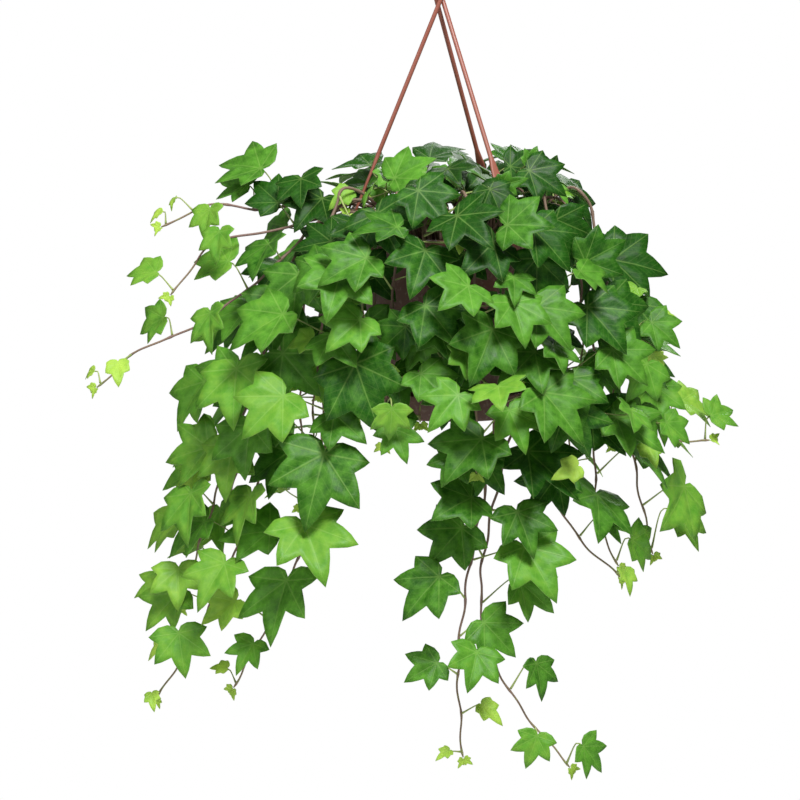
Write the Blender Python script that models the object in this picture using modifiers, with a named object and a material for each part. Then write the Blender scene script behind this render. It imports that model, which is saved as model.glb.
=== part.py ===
"""Potted ivy in a hanging plastic pot: the pot, drip saucer, soil, hanger and every rooted vine.

Metres, +Z up. The hook bears at the origin, the pot hangs below it and -Y is the front.
"""
import math
import random

import bmesh
import bpy
from mathutils import Matrix, Vector
from mathutils.bvhtree import BVHTree

# ---- driving dimensions -------------------------------------------------------------------
FIT_GAP = 0.0004             # clearance between pieces that seat on or in each other

HANG_HEIGHT = 0.224          # the hook's bearing point down to the pot's rim
POT_SHIFT = 0.010            # the pot hangs this far to the right, balancing the long left vines
POT_HEIGHT = 0.128
RIM_RADIUS = 0.0795
FLANGE_WIDTH = 0.0095        # rim flange outside the wall
BASE_RADIUS = 0.0520
POT_WALL = 0.0022
SKIRT_DROP = 0.0100          # the rim flange turns down this far
SKIRT_WALL = 0.0018
DRAIN_RADIUS = 0.0035
DRAIN_COUNT = 6
SOIL_DEPTH = 0.014           # soil surface below the rim
SOIL_CROWN = 0.0035          # how far the soil is heaped where the vines are rooted
ROOT_ROOM = 0.0009           # how far above the heap the middle of a vine's foot is, since it leans
HEAP_SHARE = 0.78            # share of the mouth's radius that the level top of the heap takes

SAUCER_ROOM = 0.0080         # from the pot's foot out to the saucer's
SAUCER_FLARE = 0.0040
SAUCER_HEIGHT = 0.0180
SAUCER_WALL = 0.0020
STUD_RADIUS = 0.0040         # the saucer's stud, which snaps through the pot's floor
STUD_LIP = 0.0012
STUD_HEAD_HEIGHT = 0.0020

HOOK_INNER = 0.0110
HOOK_WIRE = 0.0026
COLLAR_WALL = 0.0018         # outside the arms' sockets
COLLAR_TOP = 0.0360          # below the bearing point
COLLAR_HEIGHT = 0.0105
COLLAR_TAPER = 0.0035        # from the collar's edge up to the hook's wire
SOCKET_DEPTH = 0.0060
SOCKET_SPACE = 0.0039        # from the collar's middle to the nearest side of an arm
ARM_RADIUS = 0.0017
STRAP_WIDTH = 0.0066
STRAP_THICKNESS = 0.0022
NECK_RADIUS = 0.0015
FOOT_LIP = 0.0011            # how much wider the foot is than the neck above it
FOOT_HEIGHT = 0.0026
ARM_TWIST = math.radians(150)               # an arm's socket is this far round from its foot
ARMS = {"left": 184, "front": -56, "back": 64}      # bearings round the pot
ARM_SEEN = {"left": 8, "front": 7, "back": 7}       # rings of each arm that leaves keep off

STEM_RADIUS = 0.0015
TIP_RADIUS = 0.0008
STEM_SIDES = 3
PETIOLE_RADIUS = 0.0006
BEND_DOWN = 0.23             # a petiole's bend, in shares of its reach: below the blade
BEND_BACK = 0.165            # and back from it
NODE_HALF = 0.0012           # half the length of stem that a petiole grows from
SOCKET_SPREAD = 0.0012       # how much wider a petiole is at its foot
BLADE_HALF = 0.0006          # half the blade's thickness at the petiole
BLADE_FOLD = 0.16            # rise to the sides, as a share of the width
BLADE_DROOP = 0.16           # fall towards the tip, as a share of the length
CLEARANCE = 0.0006           # free space kept around each new stem and leaf
ROOM = 0.001                 # free space kept around the pot, saucer and soil
WANDER = 0.0011              # how far a stem strays to the sides as it grows
STEM_STEP = 0.006            # between the points that a stem's line is drawn through
RING_STEP = 0.014            # between a stem's rings where it carries no leaf
BARE_SHARE = 0.16            # share of a stem's length below its first leaf
BARE_TIP = 0.004
LEAF_TRIES = 320
SMALLEST_SHARE = 0.58        # how far a leaf shrinks, at its last try, to find room

# ---- places that follow from them -----------------------------------------------------------
RIM_Z = -HANG_HEIGHT
POT_FOOT = RIM_Z - POT_HEIGHT
MOUTH_RADIUS = RIM_RADIUS - FLANGE_WIDTH
FLOOR_TOP = POT_FOOT + POT_WALL
STUD_TOP = FLOOR_TOP + FIT_GAP + STUD_HEAD_HEIGHT
SAUCER_FLOOR = POT_FOOT - FIT_GAP
SAUCER_FOOT = SAUCER_FLOOR - SAUCER_WALL
SOIL_TOP = RIM_Z - SOIL_DEPTH
ARM_CIRCLE = (MOUTH_RADIUS + RIM_RADIUS - SKIRT_WALL) / 2
SAUCER_FOOT_RADIUS = BASE_RADIUS + SAUCER_ROOM
SAUCER_RADIUS = SAUCER_FOOT_RADIUS + SAUCER_FLARE
STUD_HEAD = STUD_RADIUS + STUD_LIP
FOOT_RADIUS = NECK_RADIUS + FOOT_LIP
SOCKET_CIRCLE = ARM_RADIUS + SOCKET_SPACE
COLLAR_RADIUS = SOCKET_CIRCLE + ARM_RADIUS + FIT_GAP + COLLAR_WALL
COLLAR_FOOT = -COLLAR_TOP - COLLAR_HEIGHT
ARM_TOP = COLLAR_FOOT + SOCKET_DEPTH - FIT_GAP
SHANK_FOOT = COLLAR_TAPER - COLLAR_TOP
POT_AXIS = Vector((POT_SHIFT, 0.0, 0.0))

# ---- the vines ------------------------------------------------------------------------------
# A route is chosen by hand: bearing round the pot in degrees (0 right, -90 front), reach beyond
# the rim and rise above it. The leaf lengths run from the pot to the growing tip.
TRAILS = {
    "left_high": ([(180, 0.020, 0.022), (180, 0.060, 0.016), (181, 0.095, 0.020), (182, 0.130, 0.004)],
                  [0.030, 0.034, 0.030, 0.040, 0.030, 0.024, 0.018, 0.012]),
    "left_arc": ([(187, 0.015, 0.012), (188, 0.055, 0.002), (189, 0.095, -0.008), (190, 0.125, -0.040)],
                 [0.030, 0.028, 0.024, 0.024]),
    "left_low": ([(190, 0.020, 0.010), (192, 0.050, -0.030), (190, 0.105, -0.060), (188, 0.150, -0.086),
                  (187, 0.182, -0.112)],
                 [0.034, 0.036, 0.034, 0.032, 0.030, 0.026, 0.020, 0.012]),
    "left_outer": ([(185, 0.018, 0.008), (187, 0.044, -0.035), (188, 0.072, -0.105), (188, 0.095, -0.190),
                    (186, 0.110, -0.265)],
                   [0.034, 0.038, 0.040, 0.040, 0.042, 0.042, 0.046, 0.040, 0.042, 0.038, 0.040, 0.036, 0.032,
                    0.026]),
    "left_rear": ([(172, 0.014, 0.010), (173, 0.040, -0.040), (176, 0.062, -0.120), (178, 0.085, -0.205),
                   (179, 0.092, -0.270)],
                  [0.034, 0.036, 0.038, 0.040, 0.040, 0.040, 0.042, 0.038, 0.040, 0.038, 0.036, 0.030,
                   0.024]),
    "left_middle": ([(200, 0.015, 0.010), (202, 0.044, -0.045), (200, 0.060, -0.130), (198, 0.078, -0.210),
                     (194, 0.105, -0.275), (191, 0.138, -0.335)],
                    [0.036, 0.040, 0.042, 0.042, 0.044, 0.040, 0.042, 0.040, 0.040, 0.038, 0.038, 0.036,
                     0.034, 0.020, 0.014]),
    "left_inner": ([(225, 0.015, 0.010), (227, 0.042, -0.050), (223, 0.042, -0.130), (219, 0.050, -0.200),
                    (210, 0.065, -0.260), (203, 0.092, -0.322)],
                   [0.040, 0.040, 0.044, 0.044, 0.050, 0.044, 0.054, 0.044, 0.048, 0.038, 0.050, 0.030, 0.026,
                    0.014]),
    "front_long": ([(-70, 0.012, 0.010), (-72, 0.030, -0.060), (-76, 0.025, -0.150), (-84, 0.020, -0.230),
                    (-88, 0.015, -0.300), (-86, 0.015, -0.366)],
                   [0.038, 0.038, 0.040, 0.042, 0.046, 0.042, 0.048, 0.036, 0.044, 0.038, 0.034, 0.026, 0.020,
                    0.012]),
    "right_long": ([(-56, 0.014, 0.012), (-57, 0.025, -0.060), (-66, 0.020, -0.150), (-77, 0.010, -0.240),
                    (-73, 0.012, -0.300), (-60, 0.022, -0.340), (-46, 0.048, -0.370)],
                   [0.038, 0.040, 0.042, 0.044, 0.040, 0.038, 0.036, 0.038, 0.034, 0.032, 0.026, 0.024,
                    0.026]),
    "right_inner": ([(-38, 0.012, 0.012), (-40, 0.022, -0.060), (-45, 0.015, -0.150), (-35, 0.022, -0.205),
                     (-22, 0.050, -0.245)],
                    [0.038, 0.038, 0.042, 0.040, 0.042, 0.036, 0.028, 0.020]),
    "right_middle": ([(-15, 0.006, 0.012), (-17, 0.024, -0.050), (-18, 0.028, -0.140), (-18, 0.030, -0.200),
                      (-15, 0.045, -0.240)],
                     [0.036, 0.038, 0.044, 0.040, 0.042, 0.038, 0.044, 0.046, 0.030]),
    "right_outer": ([(0, 0.004, 0.012), (0, 0.028, -0.045), (0, 0.050, -0.110), (-1, 0.082, -0.150),
                     (-1, 0.108, -0.152)],
                    [0.036, 0.038, 0.040, 0.038, 0.040, 0.036, 0.032, 0.024]),
    "right_back": ([(18, 0.004, 0.014), (16, 0.028, -0.040), (11, 0.048, -0.120), (8, 0.060, -0.190),
                    (5, 0.070, -0.240)],
                   [0.036, 0.036, 0.038, 0.036, 0.040, 0.038, 0.044, 0.046, 0.040]),
    "right_high": ([(30, -0.032, 0.036), (26, -0.014, 0.040), (20, 0.006, 0.020)],
                   [0.034, 0.042, 0.030, 0.028, 0.024]),
    "right_low": ([(-6, 0.002, 0.014), (-6, 0.032, -0.034), (-4, 0.070, -0.072)],
                  [0.036, 0.036, 0.036, 0.030, 0.016]),
}
ROOT_SHARES = (0.50, 0.72)       # where trails root, in shares of the mouth's radius
CREST_SHARE = 0.90               # where they start over the rim
CREST_RISES = (0.010, 0.022)     # above the rim
ROOT_SWAY = 6                    # degrees by which a root may be off its trail's bearing
STEM_TRIES = 80                  # a stem that touches something is nudged this much more at each try
STEM_NUDGE = 0.0006
SHOOT_START = 0.5                # share of its reach at which a shoot crosses the rim
SHOOT_END = 0.005                # how much further out than its reach it ends
SHOOT_SWAY_FRONT = 3             # degrees
SHOOT_SWAY_BACK = 2
SHOOT_RISE = 0.012               # how high a shoot crosses the rim
SHOOT_LAYER = 0.010              # and how much higher the shoots further out do
SWING_SHARE = 0.35               # share of its drop at which a shoot starts to hang straight
BACK_VINES = 7
BACK_FIRST = 42                  # bearings of the first and last of the vines behind
BACK_LAST = 150
BACK_DROP = 0.115                # the least that the vines behind hang down
BACK_SIDE_DROP = 0.130           # what is added to that at the sides
BACK_REACHES = (0.035, 0.065)
BACK_LEAST = 4                   # leaves, and one more for each of the next length
BACK_SPACING = 0.060
BACK_LEAVES = (0.032, 0.042)     # least and most leaf length
BACK_TIP_LEAF = 0.018
FRONT_VINES = 15                 # short shoots that cover the pot's front, by bearing
FRONT_FIRST = 196
FRONT_LAST = 336
FRONT_DROPS = (0.125, 0.090, 0.148)     # in turn, the shoots further out hanging lower
FRONT_VARIES = 0.012
FRONT_REACH = 0.014
FRONT_LAYER = 0.013
FRONT_SPACING = 0.015            # a leaf for each of this length
FRONT_LEAVES = (0.030, 0.041)
FRONT_TIP_LEAF = 0.026
CROWN_VINES = 13
CROWN_RISE = 0.036
CROWN_DOME = 0.55                # how much lower the outer shoots of the crown are
CROWN_FOOT = 0.62                # where a crown shoot grows from the soil, bends and ends,
CROWN_BEND = 0.80                # in shares of the mouth's radius
CROWN_END = 1.05
CROWN_SPILL = 0.016              # and how much further out it ends
CROWN_BEND_RISE = 0.70           # how high it bends, in shares of its rise
CROWN_SWAY = 12                  # degrees
CROWN_COUNT = 7                  # leaves on each, besides the last
CROWN_LEAVES = (0.030, 0.040)
CROWN_TIP_LEAF = 0.024
CROWN_TOP = 0.052                # no petiole ends higher above the rim than this
STRAYS = ("left_high", "left_arc", "left_low")      # trails that reach out of the dome of the rest
DOME_REACH = 0.028               # how far beyond the rim, at the sides, the petioles end level with it
DOME_SLOPE = 0.75                # how much further for each metre below it
DOME_DEPTH = 1.45                # how much deeper the dome is from front to back than it is wide
GOLDEN_ANGLE = 137.5
ARM_FRONT = Vector((0.0, -0.120, 0.010))    # how far in front of an arm it is kept free of leaves
LIGHT = Vector((0.10, -0.66, 0.72)).normalized()    # leaves turn towards the light
SKIPPED_SHARE = 0.35             # share of a petiole, next to its own stem, that may be near that stem
LOOSE_FIRST = 0.40               # how far a leaf's first try strays from the directions below
LOOSE_MORE = 1.0                 # and what is added to that by the last try
LEAD_OUT, LEAD_LIGHT, LEAD_SIDE = 0.5, 0.35, 0.75   # a petiole leads outwards, to the light, sideways
FACE_OUT, FACE_LIGHT = 0.45, 0.75                   # a blade faces outwards and to the light
FACE_LOOSE = 0.8                 # how much less a blade's facing strays than its petiole
HANG_OUT, HANG_SIDE = 0.35, 0.55                    # a blade's tip points outwards and sideways
SHORTEST_PETIOLE = 0.003         # what is added to each petiole's share of its leaf's length
LEAST_OPEN = 0.15                # least cosine between a petiole and the way its blade faces
TRIES_A_SIDE = 6                 # after so many tries a leaf is tried on its stem's other side

# Half of a leaf's outline, in lengths from where the petiole joins: (towards tip, to the side).
LOBED = [(-0.07, 0.0), (-0.18, 0.28), (-0.03, 0.60), (0.20, 0.45), (0.61, 0.61), (0.55, 0.24), (1.0, 0.0)]
YOUNG = [(-0.07, 0.0), (-0.08, 0.38), (0.34, 0.46), (0.50, 0.22), (1.0, 0.0)]
YOUNG_BELOW = 0.023


class Habit:
    """How a kind of vine holds its leaves."""

    def __init__(self, rise, tilt, hang, stalk, stretch, lean, domed=True):
        self.rise = rise            # how much its petioles reach upwards
        self.tilt = tilt            # how much its blades face upwards, besides the light
        self.hang = hang            # how much their tips point down
        self.stalk = stalk          # least and most petiole length, in leaf lengths
        self.stretch = stretch      # what is added to that by the last try
        self.lean = lean            # how far a petiole may lie along its stem
        self.domed = domed          # whether its petioles end inside the plant's dome


TRAILING = Habit(0.30, 0.00, 0.62, (0.55, 0.95), 0.8, 0.72)
STRAYING = Habit(0.30, 0.00, 0.62, (0.50, 0.80), 0.5, 0.72, domed=False)
SHOOTING = Habit(0.40, 0.25, 0.60, (0.55, 1.05), 0.8, 0.72)
CROWNING = Habit(0.50, 0.55, 0.25, (0.60, 1.50), 0.0, 0.78)


# ---- curves through chosen points -----------------------------------------------------------
def smooth(points, spacing):
    """Samples of a Catmull-Rom curve through the points, about one every spacing."""
    ends = [2 * points[0] - points[1]] + points + [2 * points[-1] - points[-2]]
    samples = []
    for a, b, c, d in zip(ends, ends[1:], ends[2:], ends[3:]):
        count = max(1, round((c - b).length / spacing))
        for i in range(count):
            t = i / count
            samples.append(0.5 * (2 * b + (c - a) * t + (2 * a - 5 * b + 4 * c - d) * t * t
                                  + (3 * b - a - 3 * c + d) * t ** 3))
    samples.append(points[-1].copy())
    return samples


def along(samples, distance):
    """The place and direction at a distance along the samples."""
    for a, b in zip(samples, samples[1:]):
        step = (b - a).length
        if distance <= step:
            return a.lerp(b, distance / step), (b - a).normalized()
        distance -= step
    return samples[-1].copy(), (samples[-1] - samples[-2]).normalized()


def length_of(samples):
    return sum((b - a).length for a, b in zip(samples, samples[1:]))


def across(direction, hint):
    """The part of hint square to a direction, at unit length."""
    flat = hint - direction * hint.dot(direction)
    if flat.length < 1e-4:
        flat = direction.orthogonal()
    return flat.normalized()


def loft(rings):
    """A closed skin over rings of equally many points: points and faces."""
    points = [p for ring in rings for p in ring]
    sides = len(rings[0])
    faces = [tuple(reversed(range(sides)))]
    for i in range(len(rings) - 1):
        for k in range(sides):
            n = (k + 1) % sides
            faces.append((i * sides + k, i * sides + n, (i + 1) * sides + n, (i + 1) * sides + k))
    last = (len(rings) - 1) * sides
    faces.append(tuple(range(last, last + sides)))
    return points, faces


def oval(centre, wide, thin, sides):
    turn = 2 * math.pi / sides
    return [centre + wide * math.cos(k * turn) + thin * math.sin(k * turn) for k in range(sides)]


# ---- hanger arms ----------------------------------------------------------------------------
def round_pot(bearing, radius, z):
    a = math.radians(bearing)
    return POT_AXIS + Vector((radius * math.cos(a), radius * math.sin(a), z))


def arm_rings(bearing, sides=8):
    """Sections of one arm, from its socket under the collar to the foot below the rim flange."""
    a = math.radians(bearing)
    outward = Vector((math.cos(a), math.sin(a), 0.0))
    tangent = Vector((-math.sin(a), math.cos(a), 0.0))
    top = Matrix.Rotation(ARM_TWIST, 3, "Z") @ outward * SOCKET_CIRCLE
    top.z = COLLAR_FOOT - 0.001
    end = round_pot(bearing, ARM_CIRCLE, RIM_Z + 0.007)
    rings = [oval(Vector((top.x, top.y, ARM_TOP)), tangent * ARM_RADIUS, outward * ARM_RADIUS, sides)]
    for share in (0.0, 0.2, 0.4, 0.6, 0.70):
        rings.append(oval(top.lerp(end, share), tangent * ARM_RADIUS, outward * ARM_RADIUS, sides))
    for share in (0.78, 0.97):
        rings.append(oval(top.lerp(end, share), tangent * STRAP_WIDTH / 2, outward * STRAP_THICKNESS / 2,
                          sides))
    under = RIM_Z - POT_WALL - FIT_GAP
    for z, radius in ((RIM_Z + 0.002, NECK_RADIUS), (under, NECK_RADIUS), (under - 0.0003, FOOT_RADIUS),
                      (under - FOOT_HEIGHT, FOOT_RADIUS * 0.8)):
        centre = round_pot(bearing, ARM_CIRCLE, z)
        rings.append(oval(centre, tangent * radius, outward * radius, sides))
    return rings


# ---- how the plant grows --------------------------------------------------------------------
class Solids:
    """What is already there, for keeping new growth clear of it."""

    def __init__(self):
        self.items = []

    def add(self, points, faces, owner=None):
        middle = sum(points, Vector()) / len(points)
        radius = max((p - middle).length for p in points)
        self.items.append((middle, radius, BVHTree.FromPolygons(points, faces), owner))

    def clear(self, points, faces, but=None):
        """Whether a skin touches nothing, other than what the owner named by but added."""
        middle = sum(points, Vector()) / len(points)
        radius = max((p - middle).length for p in points)
        tree = None
        for centre, reach, other, owner in self.items:
            if (centre - middle).length > reach + radius or (but and owner is but):
                continue
            tree = tree or BVHTree.FromPolygons(points, faces)
            if tree.overlap(other):
                return False
        return True


def revolve(profile, steps=36):
    """An open turned surface about the pot's axis, for keeping growth clear."""
    points = []
    for i in range(steps):
        points += [round_pot(360 * i / steps, radius, z) for radius, z in profile]
    faces = []
    rows = len(profile)
    for i in range(steps):
        n = (i + 1) % steps
        for k in range(rows - 1):
            faces.append((i * rows + k, n * rows + k, n * rows + k + 1, i * rows + k + 1))
    return points, faces


def pot_outside():
    """The pot and saucer from the soil's edge over the rim to the saucer's foot, a little oversize."""
    inside = MOUTH_RADIUS - POT_WALL - ROOM / 2
    skin = RIM_RADIUS + ROOM
    dish = SAUCER_RADIUS + ROOM
    under = SAUCER_FOOT - ROOM
    return [(inside, SOIL_TOP), (inside, RIM_Z + ROOM), (skin, RIM_Z + ROOM), (skin, RIM_Z - SKIRT_DROP),
            (MOUTH_RADIUS, RIM_Z - SKIRT_DROP - ROOM), (BASE_RADIUS + ROOM, POT_FOOT + SAUCER_HEIGHT),
            (dish, SAUCER_FOOT + SAUCER_HEIGHT), (dish, under), (ROOM, under)]


def arm_curtain(bearing, reach):
    """The space in front of an arm, down to one of its rings, which presses the leaves there aside."""
    rings = arm_rings(bearing)
    middles = [sum(ring, Vector()) / len(ring) for ring in rings[1:reach]]
    points = middles + [p + ARM_FRONT for p in middles]
    count = len(middles)
    return points, [(k, k + 1, count + k + 1, count + k) for k in range(count - 1)]


def obstacles():
    solids = Solids()
    solids.add(*revolve(pot_outside()))
    for bearing in ARMS.values():
        solids.add(*loft(arm_rings(bearing)))
    return solids


def stem_radius(share):
    return STEM_RADIUS + (TIP_RADIUS - STEM_RADIUS) * share


class Vine:
    """One rooted cutting: its stem's sections, and the leaves that it carries."""

    def __init__(self, route, sizes):
        self.samples = smooth(route, STEM_STEP)
        for i, place in enumerate(self.samples[3:], 3):
            place += Vector((math.sin(0.95 * i), math.cos(0.8 * i), 0.0)) * WANDER
        self.length = length_of(self.samples)
        self.sizes = sizes
        self.leaves = {}

    def node_at(self, number):
        first = BARE_SHARE * self.length
        gap = (self.length - first - BARE_TIP) / (len(self.sizes) - 1)
        return first + gap * number

    def stations(self):
        """Distances of the stem's rings; each leaf's place has a pair, marked by its number."""
        marks = [(0.0, None)]
        for number in range(len(self.sizes)):
            place = self.node_at(number)
            while place - marks[-1][0] > RING_STEP + 5 * NODE_HALF:
                marks.append((marks[-1][0] + RING_STEP, None))
            marks.append((place - NODE_HALF, number))
            marks.append((place + NODE_HALF, None))
        marks.append((self.length, None))
        return marks

    def rings(self, extra=0.0):
        rings = []
        side = Vector((0.0, 0.0, 1.0))
        for distance, _ in self.stations():
            centre, direction = along(self.samples, distance)
            side = across(direction, side)
            radius = stem_radius(distance / self.length) + extra
            rings.append(oval(centre, side * radius, direction.cross(side) * radius, STEM_SIDES))
        return rings


class Leaf:
    """A leaf: the petiole's bend and end, and the blade's tip direction, face and length."""

    def __init__(self, start, joint, tip, face, size):
        self.start = start
        self.joint = joint
        self.tip = tip
        self.face = face
        self.size = size
        self.side = face.cross(tip)
        reach = (joint - start).length
        self.bend = joint - (face * BEND_DOWN + tip * BEND_BACK) * reach

    def outline(self, scale=1.0):
        half = YOUNG if self.size < YOUNG_BELOW else LOBED
        whole = half + [(u, -v) for u, v in reversed(half[1:-1])]
        return [self.place(u * scale, v * scale) for u, v in whole]

    def place(self, u, v):
        """A point of the blade, which is folded along its midrib and droops to the tip."""
        lift = BLADE_FOLD * abs(v) - BLADE_DROOP * u * abs(u)
        return self.joint + (self.tip * u + self.side * v + self.face * lift) * self.size

    def probe(self):
        """A skin a little outside the leaf, which must be clear of everything."""
        away = self.face * (BLADE_HALF + CLEARANCE)
        rim = self.outline(1.04)
        count = len(rim)
        points = [p + away for p in rim] + [p - away for p in rim]
        points += [self.joint + away * 1.5, self.joint - away * 1.5]
        faces = []
        for i in range(count):
            n = (i + 1) % count
            faces.append((i, n, 2 * count))
            faces.append((n + count, i + count, 2 * count + 1))
            faces.append((i, i + count, n + count, n))
        return points, faces

    def petiole_probe(self, skipped=0.0, clearance=CLEARANCE):
        """A skin a little outside the petiole, less a share of its lower half."""
        width = PETIOLE_RADIUS + clearance
        foot = width + SOCKET_SPREAD * (1.0 - skipped)
        axis = (self.joint - self.start).normalized()
        one = across(axis, self.face)
        two = axis.cross(one)
        stalk = [(self.start.lerp(self.bend, skipped), foot), (self.bend, width), (self.joint, width)]
        return loft([oval(place, one * half, two * half, 4) for place, half in stalk])

    def bends_gently(self):
        return (self.bend - self.start).dot(self.joint - self.bend) > 0.0


def jitter(rng):
    return Vector((rng.uniform(-1, 1), rng.uniform(-1, 1), rng.uniform(-1, 1)))


def trail_route(bearings, rng):
    """From the soil, over the rim and along a trail's chosen points."""
    bearing = bearings[0][0]
    sway = rng.uniform(-ROOT_SWAY, ROOT_SWAY)
    root = round_pot(bearing + sway, MOUTH_RADIUS * rng.uniform(*ROOT_SHARES), 0.0)
    root.z = SOIL_TOP + SOIL_CROWN + ROOT_ROOM
    crest = round_pot(bearing, MOUTH_RADIUS * CREST_SHARE, RIM_Z + rng.uniform(*CREST_RISES))
    return [root, crest] + [round_pot(b, RIM_RADIUS + reach, RIM_Z + rise) for b, reach, rise in bearings]


def shoot(bearing, reach, rise, drop, sway):
    """Three points of a shoot that rises over the rim, swings out and hangs down."""
    return [(bearing, reach * SHOOT_START, rise), (bearing + sway, reach, -SWING_SHARE * drop),
            (bearing, reach + SHOOT_END, -drop)]


def back_plan(number, rng):
    """A longer vine behind the pot, hanging lower at the sides than in the middle."""
    bearing = BACK_FIRST + (BACK_LAST - BACK_FIRST) * number / (BACK_VINES - 1)
    drop = BACK_DROP + BACK_SIDE_DROP * abs(math.cos(math.radians(bearing))) ** 2
    points = shoot(bearing, rng.uniform(*BACK_REACHES), SHOOT_RISE, drop, SHOOT_SWAY_BACK)
    count = BACK_LEAST + round(drop / BACK_SPACING)
    return points, [rng.uniform(*BACK_LEAVES) for _ in range(count)] + [BACK_TIP_LEAF]


def front_plan(number, rng):
    """Short shoots in turn near the pot, further out and longer."""
    bearing = FRONT_FIRST + (FRONT_LAST - FRONT_FIRST) * number / (FRONT_VINES - 1)
    layer = number % len(FRONT_DROPS)
    drop = FRONT_DROPS[layer] + rng.uniform(-FRONT_VARIES, FRONT_VARIES)
    rise = SHOOT_RISE + SHOOT_LAYER * layer
    points = shoot(bearing, FRONT_REACH + FRONT_LAYER * layer, rise, drop, SHOOT_SWAY_FRONT)
    count = round(drop / FRONT_SPACING) + 1
    return points, [rng.uniform(*FRONT_LEAVES) for _ in range(count)] + [FRONT_TIP_LEAF]


def crown_route(number, rng):
    """A short upright shoot that arches outwards from the middle of the pot."""
    bearing = number * GOLDEN_ANGLE
    spread = math.sqrt((number + 0.5) / CROWN_VINES)
    rise = CROWN_RISE * (1.0 - CROWN_DOME * spread)
    root = round_pot(bearing, MOUTH_RADIUS * CROWN_FOOT * spread, SOIL_TOP + SOIL_CROWN + ROOT_ROOM)
    middle = round_pot(bearing, MOUTH_RADIUS * CROWN_BEND * spread, RIM_Z + rise * CROWN_BEND_RISE)
    bearing += rng.uniform(-CROWN_SWAY, CROWN_SWAY)
    return [root, middle, round_pot(bearing, MOUTH_RADIUS * CROWN_END * spread + CROWN_SPILL, RIM_Z + rise)]


def place_stem(route, sizes, rng, solids):
    """The stem, nudged a little more at each try until it is clear of what is there."""
    vine = None
    for attempt in range(STEM_TRIES):
        nudge = STEM_NUDGE * attempt
        moved = [p + jitter(rng) * nudge for p in route]
        moved[0].z = route[0].z
        vine = Vine(moved, sizes)
        if solids.clear(*loft(vine.rings(CLEARANCE))):
            break
    solids.add(*loft(vine.rings()), owner=vine)
    return vine


def leaf_is_clear(leaf, vine, solids):
    """Whether the leaf is clear of everything, apart from its own stem where it grows out."""
    if not leaf.bends_gently() or not solids.clear(*leaf.probe()):
        return False
    if not solids.clear(*leaf.petiole_probe(), but=vine):
        return False
    return solids.clear(*leaf.petiole_probe(SKIPPED_SHARE))


def leaf_is_in_shape(leaf, habit):
    """Whether its petiole ends below the crown's top and, on most vines, inside the dome."""
    if leaf.joint.z > RIM_Z + CROWN_TOP:
        return False
    out = leaf.joint - POT_AXIS
    reach = math.hypot(out.x, out.y / DOME_DEPTH)
    return not habit.domed or reach < RIM_RADIUS + DOME_REACH + DOME_SLOPE * (RIM_Z - leaf.joint.z)


def habit_of(name):
    if "crown" in name:
        return CROWNING
    if "front" in name:
        return SHOOTING
    return STRAYING if name.removeprefix("vine_") in STRAYS else TRAILING


def grow_leaf(vine, number, side, rng, solids, habit):
    """The first of several tries at a leaf that is clear of everything, or None."""
    place, direction = along(vine.samples, vine.node_at(number))
    outward = place - POT_AXIS
    outward.z = 0.0
    outward.normalize()
    sideways = direction.cross(outward).normalized() * side
    up = Vector((0.0, 0.0, 1.0))
    for attempt in range(LEAF_TRIES):
        effort = attempt / LEAF_TRIES
        loose = LOOSE_FIRST + LOOSE_MORE * effort
        lead = outward * LEAD_OUT + up * habit.rise + LIGHT * LEAD_LIGHT
        away = (lead + sideways * LEAD_SIDE + jitter(rng) * loose).normalized()
        size = vine.sizes[number] * (1.0 + (SMALLEST_SHARE - 1.0) * effort)
        stalk = size * (rng.uniform(*habit.stalk) + habit.stretch * effort) + SHORTEST_PETIOLE
        facing = LIGHT * FACE_LIGHT + outward * FACE_OUT + up * habit.tilt
        face = (facing + jitter(rng) * (loose * FACE_LOOSE)).normalized()
        if face.dot(away) < LEAST_OPEN or abs(direction.dot(away)) > habit.lean:
            continue
        hang = outward * HANG_OUT + sideways * HANG_SIDE - up * habit.hang + jitter(rng) * loose
        leaf = Leaf(place + away * stem_radius(0.5), place + away * stalk, across(face, hang), face, size)
        if leaf_is_in_shape(leaf, habit) and leaf_is_clear(leaf, vine, solids):
            solids.add(*leaf.probe())
            solids.add(*leaf.petiole_probe())
            return leaf
        side = -side if attempt % TRIES_A_SIDE == TRIES_A_SIDE - 1 else side
    return None


def grow_plant():
    """Every vine by name: the stems first, then the leaves, the longest trails before the rest."""
    solids = obstacles()
    vines = {}
    for name, (bearings, sizes) in TRAILS.items():
        rng = random.Random(name)
        vines["vine_" + name] = place_stem(trail_route(bearings, rng), sizes, rng, solids)
    for side, count, plan in (("front", FRONT_VINES, front_plan), ("behind", BACK_VINES, back_plan)):
        for number in range(count):
            rng = random.Random(f"{side} {number}")
            bearings, sizes = plan(number, rng)
            vines[f"vine_{side}_{number + 1}"] = place_stem(trail_route(bearings, rng), sizes, rng, solids)
    for number in range(CROWN_VINES):
        rng = random.Random(f"crown {number}")
        sizes = [rng.uniform(*CROWN_LEAVES) for _ in range(CROWN_COUNT)] + [CROWN_TIP_LEAF]
        vines[f"vine_crown_{number + 1}"] = place_stem(crown_route(number, rng), sizes, rng, solids)
    heap_top = SOIL_TOP + SOIL_CROWN + ROOM
    soil_skin = [(MOUTH_RADIUS - POT_WALL, SOIL_TOP + ROOM), (MOUTH_RADIUS * HEAP_SHARE, heap_top),
                 (ROOM, heap_top)]
    solids.add(*revolve(soil_skin))
    for name, bearing in ARMS.items():
        solids.add(*arm_curtain(bearing, ARM_SEEN[name]))
    for name, vine in vines.items():
        habit = habit_of(name)
        rng = random.Random("leaves of " + name)
        for number in range(len(vine.sizes)):
            side = 1 if number % 2 else -1
            leaf = grow_leaf(vine, number, side, rng, solids, habit)
            if leaf:
                vine.leaves[number] = leaf
    return vines


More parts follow.
